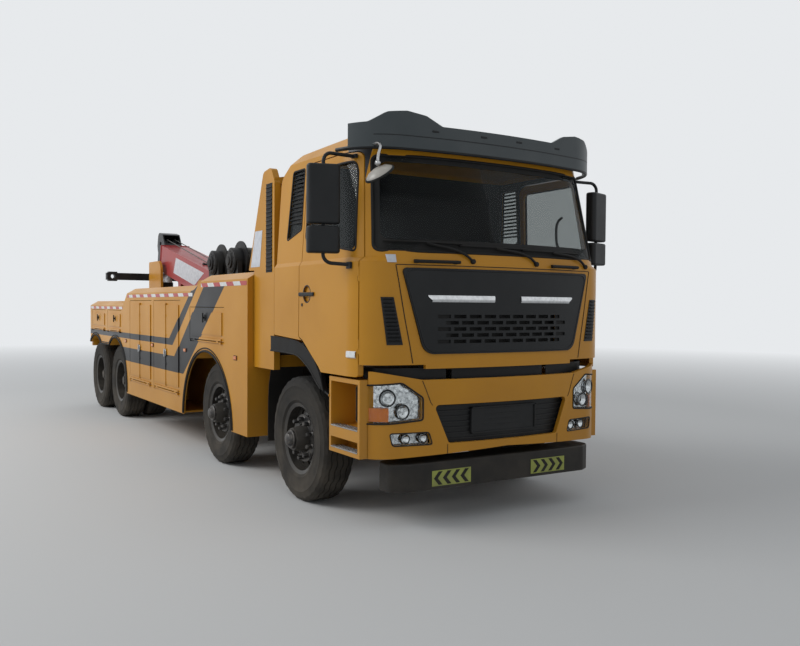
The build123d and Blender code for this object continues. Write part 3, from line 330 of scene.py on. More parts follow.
# Chassis: channel rails, axles, springs, engine and tanks, all in satin black paint.
# They carry the oil and dust of the road, and show from below and through the arches.
chassis_paint = finish_of("chassis_paint", (0.008, 0.008, 0.008), (0.020, 0.018, 0.016), 0.5, patch=4,
                          dust=0.22)
cast_iron = finish_of("cast_iron", (0.04, 0.038, 0.036), (0.09, 0.08, 0.07), 0.6, metal=0.3, patch=9,
                      grain=120, depth=0.4, dust=0.5)
dress(["frame", "underrun_bar", "tanks", "springs"], chassis_paint)
dress(["axles", "engine"] + ["knuckle_%d_%s" % (axle, side) for axle in (1, 2) for side in sides], cast_iron)

# Front end: a curved black screen closes the intake and the slot between the bumper and the cab.
# The plate's place in the middle stays empty, and two seams part the bumper's corners from its middle.
nose_bow = 0.160
bumper_plan = (1.192, 1.383, 0.290)
plate_half, plate_low, plate_high, plate_edge = 0.33, 0.695, 0.905, 0.012
rubber_black = finish_of("rubber_black", (0.007, 0.007, 0.007), (0.014, 0.013, 0.012), 0.62, patch=6,
                         dust=0.12)
trim_plastic = finish_of("trim_plastic", (0.009, 0.010, 0.011), (0.016, 0.017, 0.018), 0.42, patch=3,
                         grain=900, depth=0.2, dust=0.08)


def plan_arcs(half_width, front, radius):
    """A bowed front in plan: the bow's radius, and its corner's centre along and across the truck."""
    bow = (half_width ** 2 + nose_bow ** 2) / (2 * nose_bow)
    corner_y = half_width - radius
    return bow, front - bow + math.sqrt((bow - radius) ** 2 - corner_y ** 2), corner_y


def plan_x(y, half_width, front, radius):
    """How far forward a bowed front with rounded corners reaches at a place across the truck."""
    bow, corner_x, corner_y = plan_arcs(half_width, front, radius)
    if abs(y) < corner_y * bow / (bow - radius):
        return front - bow + math.sqrt(bow ** 2 - y ** 2)
    return corner_x + math.sqrt(max(radius ** 2 - (abs(y) - corner_y) ** 2, 0))


def bumper_x(y, z, out):
    """The bumper's front face, the same at every height, as far out of it as asked."""
    return front_axle + plan_x(y, *[size + out for size in bumper_plan])


def on_face(face, points, out, sign=1):
    """Places on a bowed face, as far out of it as asked, from places across the truck and heights."""
    return [(face(y, z, out), sign * y, z) for y, z in points]


def steps_between(low, high, count):
    """Evenly spaced values from one end to the other."""
    return [low + (high - low) * index / count for index in range(count + 1)]


def thicken(piece, thickness):
    """Gives a sheet its thickness, half on each side."""
    solid = piece.modifiers.new("wall", "SOLIDIFY")
    solid.thickness = thickness
    solid.offset = 0
    bpy.ops.object.modifier_apply(modifier=solid.name)
    bpy.ops.object.shade_smooth_by_angle(angle=math.radians(35))


def sheet(rows, thickness):
    """A sheet through rows of points."""
    bare()
    bpy.ops.mesh.primitive_grid_add(x_subdivisions=len(rows[0]) - 1, y_subdivisions=len(rows) - 1)
    piece = bpy.context.object
    for vertex, point in zip(piece.data.vertices, [point for row in rows for point in row]):
        vertex.co = point
    thicken(piece, thickness)
    return piece


def band(face, y_low, y_high, count, edges, thickness, sign=1):
    """A strip across a bowed face, through heights that each lie as far out of it as given."""
    across = steps_between(y_low, y_high, count)
    return sheet([on_face(face, [(y, z) for y in across], out, sign) for z, out in edges], thickness)


def seam(face, path, out, width, sign):
    """A thin dark line along a path on a bowed face."""
    rows = [[(face(y, z, out), sign * (y + wide), z) for y, z in path] for wide in (0, width)]
    return sheet(rows, 0.002)


def block(x_low, x_high, y_low, y_high, z_low, z_high, edge):
    """A box with softened edges."""
    bare()
    bpy.ops.mesh.primitive_cube_add(size=1)
    piece = bpy.context.object
    piece.location = ((x_low + x_high) / 2, (y_low + y_high) / 2, (z_low + z_high) / 2)
    piece.scale = (abs(x_high - x_low), abs(y_high - y_low), abs(z_high - z_low))
    bpy.ops.object.transform_apply(location=True, rotation=True, scale=True)
    if edge:
        soft = piece.modifiers.new("edge", "BEVEL")
        soft.width = edge
        soft.segments = 2
        bpy.ops.object.modifier_apply(modifier=soft.name)
    return piece


screens = []
for y_low, y_high, z_low, z_high, out in ((-0.74, 0.74, 0.60, 0.98, -0.062),
                                          (-0.465, 0.465, 1.08, 1.219, -0.100),
                                          (-1.10, -0.515, 1.08, 1.219, -0.100),
                                          (0.515, 1.10, 1.08, 1.219, -0.100)):
    screens.append(band(bumper_x, y_low, y_high, 24, ((z_low, out), (z_high, out)), 0.006))
for z in steps_between(0.66, 0.92, 6):
    screens.append(band(bumper_x, -0.66, 0.66, 20, ((z, -0.050), (z + 0.010, -0.050)), 0.008))
plate_x = bumper_x(0.3, plate_low, -0.046)
screens.append(block(plate_x - 0.012, plate_x + 0.006, -plate_half, plate_half, plate_low, plate_high, 0.006))
for y_low, y_high, z_low, z_high in ((-plate_half, plate_half, plate_high - plate_edge, plate_high),
                                     (-plate_half, plate_half, plate_low, plate_low + plate_edge),
                                     (-plate_half, plate_edge - plate_half, plate_low, plate_high),
                                     (plate_half - plate_edge, plate_half, plate_low, plate_high)):
    screens.append(block(plate_x, plate_x + 0.016, y_low, y_high, z_low, z_high, 0.002))
settle(joined(screens), "nose_screens", "chassis", trim_plastic)

seams = []
for sign in (-1, 1):
    upper = [(0.775, 1.130), (0.745, 1.060), (0.705, 0.960), (0.690, 0.940)]
    seams.append(seam(bumper_x, upper, 0.0012, 0.005, sign))
    seams.append(seam(bumper_x, [(0.560, 0.636), (0.560, 0.562)], 0.0012, 0.004, sign))
settle(joined(seams), "bumper_seams", "chassis", rubber_black)

# Warning plates: two on the underrun bar, yellow-green film with four black arrowheads each.
# The arrowheads point away from the middle of the truck.
film_green = finish_of("film_green", (0.36, 0.40, 0.075), (0.28, 0.31, 0.07), 0.4, coat=0.2, patch=9,
                       dust=0.3)
arrow_pitch = 0.084


def prism(corners, push):
    """A flat outline of points pushed out into a solid."""
    bare()
    bpy.ops.mesh.primitive_circle_add(vertices=len(corners), fill_type="NGON")
    piece = bpy.context.object
    for vertex, corner in zip(piece.data.vertices, corners):
        vertex.co = corner
    bpy.ops.object.mode_set(mode="EDIT")
    bpy.ops.mesh.select_all(action="SELECT")
    bpy.ops.mesh.extrude_region_move(TRANSFORM_OT_translate={"value": push})
    bpy.ops.object.mode_set(mode="OBJECT")
    face_outwards()
    return piece


plates = []
arrows = []
plate_x = front_axle + 1.3105
for sign in (-1, 1):
    plates.append(block(plate_x, plate_x + 0.004, sign * 0.31, sign * 0.68, 0.310, 0.430, 0.001))
    for index in range(4):
        tip = 0.665 - index * arrow_pitch
        outline = ((tip, 0.370), (tip - 0.045, 0.422), (tip - 0.082, 0.422), (tip - 0.037, 0.370),
                   (tip - 0.082, 0.318), (tip - 0.045, 0.318))
        arrows.append(prism([(plate_x + 0.0045, sign * y, z) for y, z in outline], (0.0008, 0, 0)))
settle(joined(plates), "warning_plates", "chassis", film_green)
settle(joined(arrows), "warning_arrows", "chassis", rubber_black)

# Lamps: clear lenses over silvered buckets, with two bowls in each headlamp and amber in its outer corner.
# The lenses and buckets are cut from the solids of the frame, which they take the place of.
lens_clear = bpy.data.materials.new("lens_clear")
lens_clear.use_nodes = True
lens_shader = lens_clear.node_tree.nodes["Principled BSDF"]
lens_shader.inputs["Base Color"].default_value = (0.95, 0.97, 0.97, 1)
lens_shader.inputs["Roughness"].default_value = 0.03
lens_shader.inputs["IOR"].default_value = 1.15
lens_shader.inputs["Transmission Weight"].default_value = 1.0
silvered = finish_of("silvered", (0.70, 0.71, 0.72), (0.55, 0.56, 0.57), 0.16, metal=1.0, patch=30,
                     depth=0.02, dust=0)
reflector = finish_of("reflector", (0.80, 0.81, 0.82), (0.30, 0.31, 0.32), 0.10, metal=1.0, patch=38,
                      grain=55, depth=0.8, dust=0)
amber_lens = finish_of("amber_lens", (0.62, 0.17, 0.02), (0.50, 0.13, 0.02), 0.2, coat=0.6, patch=30,
                       grain=200, depth=0.5, dust=0)
red_lens = finish_of("red_lens", (0.34, 0.012, 0.012), (0.28, 0.012, 0.012), 0.2, coat=0.6, patch=30,
                     grain=200, depth=0.4, dust=0)


def depth_in_bumper(x, y):
    """The centre of the bumper's curve by a place, its radius there, and how deep the place lies in it."""
    front, radius = bumper_plan[1:]
    bow, corner_x, corner_y = plan_arcs(*bumper_plan)
    centre = (corner_x, math.copysign(corner_y, y))
    if abs(y) < corner_y * bow / (bow - radius):
        centre = (front - bow, 0)
        radius = bow
    return centre, radius, radius - math.hypot(x - front_axle - centre[0], y - centre[1])


def moulded_lamp(low, high):
    """A copy of the lamp solids, with all that faces forward moved to a depth between the two given."""
    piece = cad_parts["lamps"].copy()
    piece.data = piece.data.copy()
    bpy.context.collection.objects.link(piece)
    take(piece)
    piece.parent = None
    bpy.ops.object.mode_set(mode="EDIT")
    bpy.ops.mesh.select_all(action="DESELECT")
    bpy.ops.object.mode_set(mode="OBJECT")
    for vertex in piece.data.vertices:
        vertex.select = vertex.co.x < 0
    bpy.ops.object.mode_set(mode="EDIT")
    bpy.ops.mesh.delete(type="VERT")
    bpy.ops.object.mode_set(mode="OBJECT")
    for vertex in piece.data.vertices:
        centre, radius, depth = depth_in_bumper(vertex.co.x, vertex.co.y)
        wanted = low if depth < 0.03 else high
        scale = (radius - wanted) / (radius - depth)
        vertex.co.x = front_axle + centre[0] + (vertex.co.x - front_axle - centre[0]) * scale
        vertex.co.y = centre[1] + (vertex.co.y - centre[1]) * scale
    return piece


lenses = moulded_lamp(0.003, 0.008)
settle(lenses, "lamp_lenses", "chassis", lens_clear)
settle(moulded_lamp(0.046, 0.058), "lamp_buckets", "chassis", reflector)
bowl_section = [(0.0, -0.030), (0.018, -0.028), (0.040, -0.016), (0.055, 0.0), (0.060, 0.0), (0.060, -0.004),
                (0.044, -0.022), (0.0, -0.034)]
lamp_ring_section = [(0.052, 0.001), (0.063, 0.001), (0.063, 0.010), (0.052, 0.006)]
bowls = []
rings = []
for sign in (-1, 1):
    for y, z, size in ((1.035, 1.000, 1.05), (0.925, 0.895, 0.95), (0.76, 0.688, 0.62), (0.90, 0.688, 0.62)):
        lamp_place = (bumper_x(y, z, -0.022), sign * y, z)
        bowls.append(lathe(bowl_section, 24, lamp_place))
        rings.append(lathe(lamp_ring_section, 24, lamp_place))
        for piece in (bowls[-1], rings[-1]):
            piece.scale = (size, size, size)
            piece.rotation_euler = (0, 0, math.radians(-90) + sign * math.radians(18 if y > 1 else 6))
settle(joined(bowls), "lamp_bowls", "chassis", silvered)
settle(joined(rings), "lamp_rings", "chassis", trim_plastic)
turn_lamps = []
tail_reds = []
tail_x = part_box("lamps")[0].x
for sign in (-1, 1):
    turn_lamps.append(band(bumper_x, 1.030, 1.150, 8, ((0.822, -0.014), (0.925, -0.014)), 0.010, sign))
    turn_lamps.append(block(tail_x - 0.006, tail_x + 0.020, sign * 0.875, sign * 0.985, 1.020, 1.130, 0.006))
    tail_reds.append(block(tail_x - 0.006, tail_x + 0.020, sign * 0.990, sign * 1.225, 1.020, 1.130, 0.006))
    tail_reds.append(block(tail_x + 0.020, tail_x + 0.045, sign * 0.862, sign * 1.238, 1.012, 1.138, 0.004))
settle(joined(turn_lamps), "turn_lamps", "chassis", amber_lens)
settle(joined(tail_reds), "tail_lamps", "chassis", red_lens)
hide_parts("lamps")

# Cab and body paint: steel panels in warm work yellow, sprayed, with a clear coat that has dulled.
# The recovery body carries two black stripes of film along each side, cranked upwards behind the cab.
film_black = (0.008, 0.008, 0.009)
film_side = 1.235
cab_floor_z = 1.2165
# Corners of each stretch of stripe as places along the truck from the front axle, and heights
stripe_stretches = [
    [(-8.10, 1.205), (-3.42, 1.205), (-3.56, 1.285), (-8.10, 1.285)],
    [(-3.42, 1.205), (-2.50, 1.905), (-2.66, 1.905), (-3.56, 1.285)],
    [(-5.95, 0.885), (-3.02, 0.885), (-3.35, 1.075), (-5.95, 1.075)],
    [(-3.02, 0.885), (-1.62, 1.905), (-2.28, 1.905), (-3.35, 1.075)],
]


def sprayed(name, rough, patch, depth, dust, gloss=0.18):
    """Work yellow, sprayed, with its own patches of wear and its own share of dust."""
    return finish_of(name, (0.520, 0.238, 0.016), (0.460, 0.208, 0.019), rough, coat=0.14, patch=patch,
                     grain=60, depth=depth, dust=dust, gloss=gloss)


def inside_quad(material, corners):
    """1 inside four corners given anticlockwise in the side view, and 0 outside."""
    along, up = object_axis(material, "X"), object_axis(material, "Z")
    mask = None
    for index, (x_1, z_1) in enumerate(corners):
        x_2, z_2 = corners[(index + 1) % 4]
        run, rise = x_2 - x_1, z_2 - z_1
        slant = maths(material, "SUBTRACT", maths(material, "MULTIPLY", up, run),
                      maths(material, "MULTIPLY", along, rise))
        edge = maths(material, "GREATER_THAN", slant, run * z_1 - rise * (x_1 + front_axle))
        mask = edge if mask is None else maths(material, "MULTIPLY", mask, edge)
    return mask


work_yellow = sprayed("work_yellow", 0.34, 1.3, 0.05, 0.12)
body_yellow = sprayed("body_yellow", 0.36, 1.1, 0.06, 0.15)
cab_yellow = sprayed("cab_yellow", 0.34, 1.3, 0.05, 0.10)
step_yellow = sprayed("step_yellow", 0.36, 1.3, 0.06, 0.25, gloss=0.25)
mix_in(cab_yellow, maths(cab_yellow, "LESS_THAN", object_axis(cab_yellow, "Z"), cab_floor_z), film_black)
# The lining within the cab is dark grey: what lies inside the skin, from the rear wall to the dashboard
cab_along, cab_up = object_axis(cab_yellow, "X"), object_axis(cab_yellow, "Z")
cab_out = maths(cab_yellow, "ABSOLUTE", object_axis(cab_yellow, "Y"))
lean = maths(cab_yellow, "MULTIPLY", cab_up, 0.0612)
lining = maths(cab_yellow, "LESS_THAN", maths(cab_yellow, "ADD", cab_out, lean), 1.3334)
for value, operation, limit in ((cab_along, "GREATER_THAN", front_axle - 0.385),
                                (cab_along, "LESS_THAN", front_axle + 1.0),
                                (cab_up, "GREATER_THAN", 1.270), (cab_up, "LESS_THAN", 2.930)):
    lining = maths(cab_yellow, "MULTIPLY", lining, maths(cab_yellow, operation, value, limit))
mix_in(cab_yellow, lining, (0.030, 0.031, 0.034))
step_back = maths(step_yellow, "LESS_THAN", object_axis(step_yellow, "X"), front_axle + 0.639)
mix_in(step_yellow, step_back, film_black)
stripes = None
for corners in stripe_stretches:
    quad = inside_quad(body_yellow, corners)
    stripes = quad if stripes is None else maths(body_yellow, "MAXIMUM", stripes, quad)
body_out = maths(body_yellow, "ABSOLUTE", object_axis(body_yellow, "Y"))
outside = maths(body_yellow, "GREATER_THAN", body_out, film_side)
mix_in(body_yellow, maths(body_yellow, "MULTIPLY", stripes, outside), film_black)
lockers = [name + "_" + side for name in ("hatch", "tall_door_1", "tall_door_2", "small_doors")
           for side in sides]
dress(["cab_shell"], cab_yellow)
dress(["bumper", "headboard", "boom_frame", "door_right", "door_left"], work_yellow)
dress(["cab_steps"], step_yellow)
dress(["wrecker_body"] + lockers, body_yellow)

# Cab steps: a bright tread strip on each step's edge, with rows of punched teeth.
# They are fixed to the yellow step boxes between the front wheels and the bumper.
bright_steel = finish_of("bright_steel", (0.52, 0.53, 0.54), (0.36, 0.35, 0.34), 0.24, metal=1.0, patch=14,
                         depth=0.05, dust=0.1)
tread_back, tread_front = front_axle + 0.672, front_axle + 1.104
tooth_half = 0.005
treads = []
for sign in (-1, 1):
    for z in (0.744, 0.574):
        treads.append(block(tread_back, tread_front, sign * 1.130, sign * 1.226, z, z + 0.010, 0.002))
        for x in steps_between(tread_back + 0.02, tread_front - 0.02, 18):
            for y in (1.150, 1.178, 1.206):
                treads.append(block(x - tooth_half, x + tooth_half, sign * (y - tooth_half),
                                    sign * (y + tooth_half), z + 0.008, z + 0.014, 0))
settle(joined(treads), "step_treads", "chassis", bright_steel)

# Cab front: rubber seals round the screens, a dark printed band inside the windscreen's edge,
# the flap's shut lines, two black grab rails, three wipers and the vents in the corners.
cab_shoulder_z = 2.03
cab_lean_from = 2.065
cab_lean_height = 0.98


def cab_plan(z, out):
    """Half the cab's width, its front and its corners' radius: upright to the shoulder, then drawn in."""
    if z < cab_shoulder_z:
        return 1.250 + out, 1.360 + out, 0.290 + out
    rise = max(z - cab_lean_from, 0) / cab_lean_height
    return 1.225 - 0.060 * rise + out, 1.355 - 0.189 * rise + out, 0.360 + 0.080 * rise + out


def cab_x(y, z, out):
    """The cab's front face, as far out of it as asked."""
    return front_axle + plan_x(y, *cab_plan(z, out))


def tube(points, radius, closed=False, straight=False):
    """A round bar or strip of rubber along points, smoothly bent or with straight runs."""
    curve = bpy.data.curves.new("path", "CURVE")
    curve.dimensions = "3D"
    curve.bevel_depth = radius
    curve.bevel_resolution = 2
    curve.resolution_u = 6
    curve.use_fill_caps = True
    spline = curve.splines.new("BEZIER")
    spline.bezier_points.add(len(points) - 1)
    for knot, point in zip(spline.bezier_points, points):
        knot.co = point
        knot.handle_left_type = "VECTOR" if straight else "AUTO"
        knot.handle_right_type = "VECTOR" if straight else "AUTO"
    spline.use_cyclic_u = closed
    piece = bpy.data.objects.new("tube", curve)
    bpy.context.collection.objects.link(piece)
    take(piece)
    bpy.ops.object.convert(target="MESH")
    bpy.ops.object.shade_smooth_by_angle(angle=math.radians(40))
    return piece


def rounded_loop(corners, radius):
    """Points round a flat outline with its corners rounded, and with seven more along each run."""
    points = []
    for index, corner in enumerate(corners):
        before = corners[index - 1]
        after = corners[(index + 1) % len(corners)]
        toward = [(near[0] - corner[0], near[1] - corner[1]) for near in (before, after)]
        reach = [math.hypot(*way) for way in toward]
        start = [corner[axis] + toward[0][axis] / reach[0] * radius for axis in (0, 1)]
        end = [corner[axis] + toward[1][axis] / reach[1] * radius for axis in (0, 1)]
        for t in steps_between(0, 1, 6):
            points.append(tuple((1 - t) ** 2 * start[axis] + 2 * t * (1 - t) * corner[axis]
                                + t ** 2 * end[axis] for axis in (0, 1)))
        next_start = [after[axis] - toward[1][axis] / reach[1] * radius for axis in (0, 1)]
        for t in steps_between(0, 1, 8)[1:-1]:
            points.append(tuple(end[axis] + (next_start[axis] - end[axis]) * t for axis in (0, 1)))
    return points


screen_loop = rounded_loop([(-1.120, 2.110), (1.120, 2.110), (1.055, 2.850), (-1.055, 2.850)], 0.055)
inner_loop = rounded_loop([(-1.065, 2.205), (1.065, 2.205), (1.010, 2.800), (-1.010, 2.800)], 0.055)
seal = tube(on_face(cab_x, screen_loop, -0.003), 0.011, closed=True)
settle(seal, "windscreen_seal", "cab", rubber_black)
outer = on_face(cab_x, [(y * 0.995, z) for y, z in screen_loop], -0.0105)
inner = on_face(cab_x, inner_loop, -0.0105)
frit = sheet([outer + outer[:1], inner + inner[:1]], 0.0012)
settle(frit, "windscreen_band", "cab", rubber_black)

flap_side = [(0.985, 2.005), (0.965, 1.900), (0.915, 1.620), (0.870, 1.400), (0.845, 1.262)]
lines = [seam(cab_x, flap_side, 0.0010, 0.007, sign) for sign in (-1, 1)]
lines.append(band(cab_x, -0.985, 0.985, 40, ((2.004, 0.0010), (2.010, 0.0010)), 0.002))
settle(joined(lines), "flap_lines", "cab", rubber_black)

vents = []
for sign in (-1, 1):
    rows = []
    for t in steps_between(0, 1, 10):
        z = 1.402 + 0.360 * t
        across = steps_between(0.930 + 0.075 * t, 1.055 + 0.045 * t, 10)
        rows.append(on_face(cab_x, [(y, z) for y in across], 0.002, sign))
    vents.append(sheet(rows, 0.004))
    for z in steps_between(1.425, 1.740, 11):
        rise = (z - 1.4) / 0.36
        y_low, y_high = 0.944 + 0.074 * rise, 1.046 + 0.044 * rise
        vents.append(band(cab_x, y_low, y_high, 10, ((z, 0.004), (z + 0.012, 0.014)), 0.004, sign))
settle(joined(vents), "corner_vents", "cab", trim_plastic)

rails = []
rail_z = 2.034
for y_low, y_high in ((-0.86, -0.47), (0.47, 0.80)):
    for y in (y_low + 0.03, y_high - 0.03):
        rails.append(block(cab_x(y, rail_z, -0.006), cab_x(y, rail_z, 0.034), y - 0.016, y + 0.016,
                           rail_z - 0.014, rail_z + 0.014, 0.005))
    path = on_face(cab_x, [(y, rail_z) for y in steps_between(y_low, y_high, 8)], 0.034)
    rails.append(tube(path, 0.013, straight=True))
settle(joined(rails), "cowl_rails", "cab", rubber_black)
white_patch = finish_of("white_patch", (0.60, 0.62, 0.66), (0.50, 0.52, 0.56), 0.5, patch=20, dust=0)
card = band(cab_x, -1.055, -0.985, 4, ((2.022, 0.004), (2.082, 0.004)), 0.001)
settle(card, "blank_card", "cab", white_patch)

wipers = []
wiper_hub_section = [(0, -0.02), (0.020, -0.02), (0.020, 0.020), (0.014, 0.026), (0, 0.026)]
pivot_z = 2.045
# Columns: pivot across the truck, then the tip across the truck and its height
for pivot_y, tip_y, tip_z in ((-0.340, -1.060, 2.185), (0.305, -0.450, 2.165), (0.930, 0.160, 2.155)):
    middle_y, middle_z = pivot_y * 0.45 + tip_y * 0.55, pivot_z * 0.15 + tip_z * 0.85 + 0.012
    elbow_y, elbow_z = pivot_y * 0.8 + middle_y * 0.2, 2.10
    hub = lathe(wiper_hub_section, 16, (cab_x(pivot_y, pivot_z, 0.004), pivot_y, pivot_z))
    hub.rotation_euler = (0, 0, math.radians(-90))
    arm = [(cab_x(pivot_y, pivot_z, 0.016), pivot_y, pivot_z),
           (cab_x(elbow_y, elbow_z, 0.020), elbow_y, elbow_z),
           (cab_x(middle_y, middle_z, 0.018), middle_y, middle_z)]
    along = steps_between(pivot_y + (tip_y - pivot_y) * 0.12, tip_y, 8)
    blade = on_face(cab_x, list(zip(along, steps_between(middle_z + 0.003, tip_z, 8))), 0.006)
    spine = [(x + 0.013, y, z) for x, y, z in blade]
    wipers += [hub, tube(arm, 0.0105), tube(blade, 0.008), tube(spine, 0.005)]
settle(joined(wipers), "wipers", "cab", rubber_black)

# Grille: a fine black mesh shows behind its slots, under two bright strips that leave the badge's place bare.
# A shallow step runs round the edge of the moulded panel.
backing = [band(cab_x, -0.56, 0.56, 20, ((1.402, -0.030), (1.650, -0.030)), 0.002)]
for y_low, y_high in ((-0.685, -0.535), (0.535, 0.685)):
    backing.append(band(cab_x, y_low, y_high, 6, ((1.404, 0.0018), (1.648, 0.0018)), 0.0012))
settle(joined(backing), "grille_backing", "cab", rubber_black)
strips = []
for sign in (-1, 1):
    rows = []
    for z, out, end in ((1.728, 0.014, 0.700), (1.740, 0.019, 0.700), (1.766, 0.019, 0.735),
                        (1.778, 0.014, 0.735)):
        y_low, y_high = sorted((sign * 0.135, sign * end))
        rows.append(on_face(cab_x, [(y, z) for y in steps_between(y_low, y_high, 16)], out))
    strips.append(sheet(rows, 0.003))
settle(joined(strips), "grille_strips", "cab", silvered)
rim_loop = rounded_loop([(-0.745, 1.345), (0.745, 1.345), (0.930, 1.970), (-0.930, 1.970)], 0.09)
rim_bead = tube(on_face(cab_x, rim_loop, 0.0135), 0.005, closed=True)
settle(rim_bead, "grille_bead", "cab", trim_plastic)
dress(["grille"], trim_plastic)

# Sun visor: a smooth dark grey moulding over the windscreen, bolted to the roof's front edge.
# A drip bead runs along its lower edge and a crease along its middle, under four small covers.
visor_plastic = finish_of("visor_plastic", (0.050, 0.060, 0.064), (0.066, 0.075, 0.078), 0.36, patch=2,
                          grain=700, depth=0.08, dust=0)
dress(["sun_visor"], visor_plastic)


def visor_x(y, z, out):
    """The visor's front face, the same at every height, as far out of it as asked."""
    return front_axle + plan_x(y, 1.285 + out, 1.275 + out, 0.480 + out)


bead_path = [(y, 2.893 + 0.002 * abs(y)) for y in steps_between(-1.262, 1.262, 60)]
beads = [tube(on_face(visor_x, bead_path, -0.014), 0.016)]
beads.append(band(visor_x, -1.10, 1.10, 50, ((2.985, 0.001), (2.991, 0.001)), 0.002))
for y in (-0.62, -0.18, 0.18, 0.62):
    beads.append(block(visor_x(y, 3.03, -0.004), visor_x(y, 3.03, 0.004), y - 0.03, y + 0.03,
                       3.030, 3.045, 0.003))
settle(joined(beads), "visor_beads", "cab", trim_plastic)

# Glazing: laminated windscreen and tempered side panes, lightly tinted, bonded into their openings.
# They let the cab's inside show, and reflect the sky where they are seen aslant.
glazing = bpy.data.materials.new("glazing")
glazing.use_nodes = True
nodes, links = glazing.node_tree.nodes, glazing.node_tree.links
pane = nodes["Principled BSDF"]
pane.inputs["Base Color"].default_value = (0.020, 0.024, 0.026, 1)
pane.inputs["Roughness"].default_value = 0.03
pane.inputs["Specular IOR Level"].default_value = 0.6
clear = nodes.new("ShaderNodeBsdfTransparent")
clear.inputs["Color"].default_value = (0.96, 0.98, 0.975, 1)
seen = nodes.new("ShaderNodeMixShader")
facing = nodes.new("ShaderNodeLayerWeight")
facing.inputs["Blend"].default_value = 0.35
links.new(spread(glazing, facing.outputs["Fresnel"], 0.0, 1.0, 0.03, 0.50), seen.inputs[0])
links.new(clear.outputs["BSDF"], seen.inputs[1])
links.new(pane.outputs["BSDF"], seen.inputs[2])
links.new(seen.outputs["Shader"], nodes["Material Output"].inputs["Surface"])
dress(["cab_glass", "door_glass_right", "door_glass_left"], glazing)

# Side windows: rubber seals round the doors' panes, and louvres over the quarter windows.
# The louvres are pressed strips in a rubber frame, which stands in the opening behind the door.
door_window = rounded_loop([(0.175, 2.250), (1.020, 2.110), (0.935, 2.735), (0.900, 2.810),
                            (0.195, 2.810)], 0.038)
quarter_window = rounded_loop([(-0.205, 2.260), (0.085, 2.340), (0.085, 2.860), (-0.150, 2.860)], 0.03)


def side_y(x, z, out):
    """The cab's side at a place along the truck from the front axle and a height, round the corner too."""
    half_width, front, radius = cab_plan(z, out)
    corner_x, corner_y = plan_arcs(half_width, front, radius)[1:]
    if x < corner_x:
        return half_width
    return corner_y + math.sqrt(max(radius ** 2 - (x - corner_x) ** 2, 0))


def on_cab_side(points, out, sign):
    """Places on a side of the cab, from places along the truck from the front axle and heights."""
    return [(front_axle + x, sign * side_y(x, z, out), z) for x, z in points]


for side, sign in sides.items():
    seal = tube(on_cab_side(door_window, -0.004, sign), 0.010, closed=True)
    settle(seal, "door_seal_" + side, "door_" + side, rubber_black)
    louvres = [tube(on_cab_side(quarter_window, -0.004, sign), 0.009, closed=True)]
    for z in steps_between(2.40, 2.82, 12):
        ends = (-0.200 + (z - 2.26) * 0.09, 0.08)
        rows = [[(front_axle + x, sign * side_y(x, z, out), z + lift) for x in ends]
                for out, lift in ((-0.016, 0.014), (-0.002, 0))]
        louvres.append(sheet(rows, 0.003))
    settle(joined(louvres), "quarter_louvres_" + side, "cab", rubber_black)

# Door hardware: a dark pull bar over a dished recess with its lock, a clear step lamp low on the door,
# and the grab handle inside the pillar, all moulded in plastic and screwed to the door's skin.
marker_lens = finish_of("marker_lens", (0.78, 0.80, 0.80), (0.66, 0.68, 0.68), 0.2, coat=0.5, patch=30,
                        grain=300, depth=0.3, dust=0)
lock_section = [(0, -0.004), (0.014, -0.004), (0.014, 0.006), (0.010, 0.009), (0, 0.009)]
recess_section = [(0.066, -0.002), (0.075, -0.002), (0.078, 0.003), (0.066, 0.003)]
grab_points = [(0.86, 1.06, 2.20), (0.84, 1.02, 2.24), (0.82, 1.01, 2.36), (0.82, 1.03, 2.48),
               (0.83, 1.07, 2.52)]
for side, sign in sides.items():
    y = sign * 1.250
    pulls = [block(front_axle + 0.135, front_axle + 0.415, y - sign * 0.006, y + sign * 0.016,
                   1.772, 1.804, 0.008),
             lathe(lock_section, 20, (front_axle + 0.185, y, 1.70)),
             lathe(recess_section, 40, (front_axle + 0.275, y - sign * 0.001, 1.790))]
    settle(joined(pulls), "door_pull_" + side, "door_" + side, trim_plastic)
    lamp_along = steps_between(0.985, 1.085, 6)
    rows = [on_cab_side([(x, z) for x in lamp_along], out, sign)
            for z, out in ((1.300, 0.002), (1.306, 0.010), (1.344, 0.010), (1.350, 0.002))]
    settle(sheet(rows, 0.003), "door_lamp_" + side, "door_" + side, marker_lens)
    grab = tube([(front_axle + x, sign * y, z) for x, y, z in grab_points], 0.012)
    settle(grab, "door_grab_" + side, "door_" + side, trim_plastic)

# Lamp seals: a bead of black rubber round each headlamp and fog lamp.
# It is pressed between the lens and the bumper's skin, and hides the gap.
lamp_outlines = [([(0.770, 0.830), (1.010, 0.810), (1.189, 0.803), (1.189, 1.094), (0.940, 1.115),
                   (0.770, 1.000)], 0.007),
                 ([(0.690, 0.640), (1.010, 0.640), (1.030, 0.735), (0.720, 0.735)], 0.005)]
lamp_seals = []
for sign in (-1, 1):
    for corners, radius in lamp_outlines:
        path = on_face(bumper_x, rounded_loop(corners, 0.022), -0.0005, sign)
        lamp_seals.append(tube(path, radius, closed=True))
settle(joined(lamp_seals), "lamp_seals", "chassis", rubber_black)

# Mirrors: silvered glass in the rear faces of the black door mirrors, and on the right front corner a
# look-down mirror in a pale bowl with a dark rim, on a bent chromed arm from the visor.
bowl_pale = finish_of("bowl_pale", (0.40, 0.38, 0.34), (0.32, 0.30, 0.27), 0.35, coat=0.2, patch=20, dust=0)
mirror_middle = (0.910, 1.420)
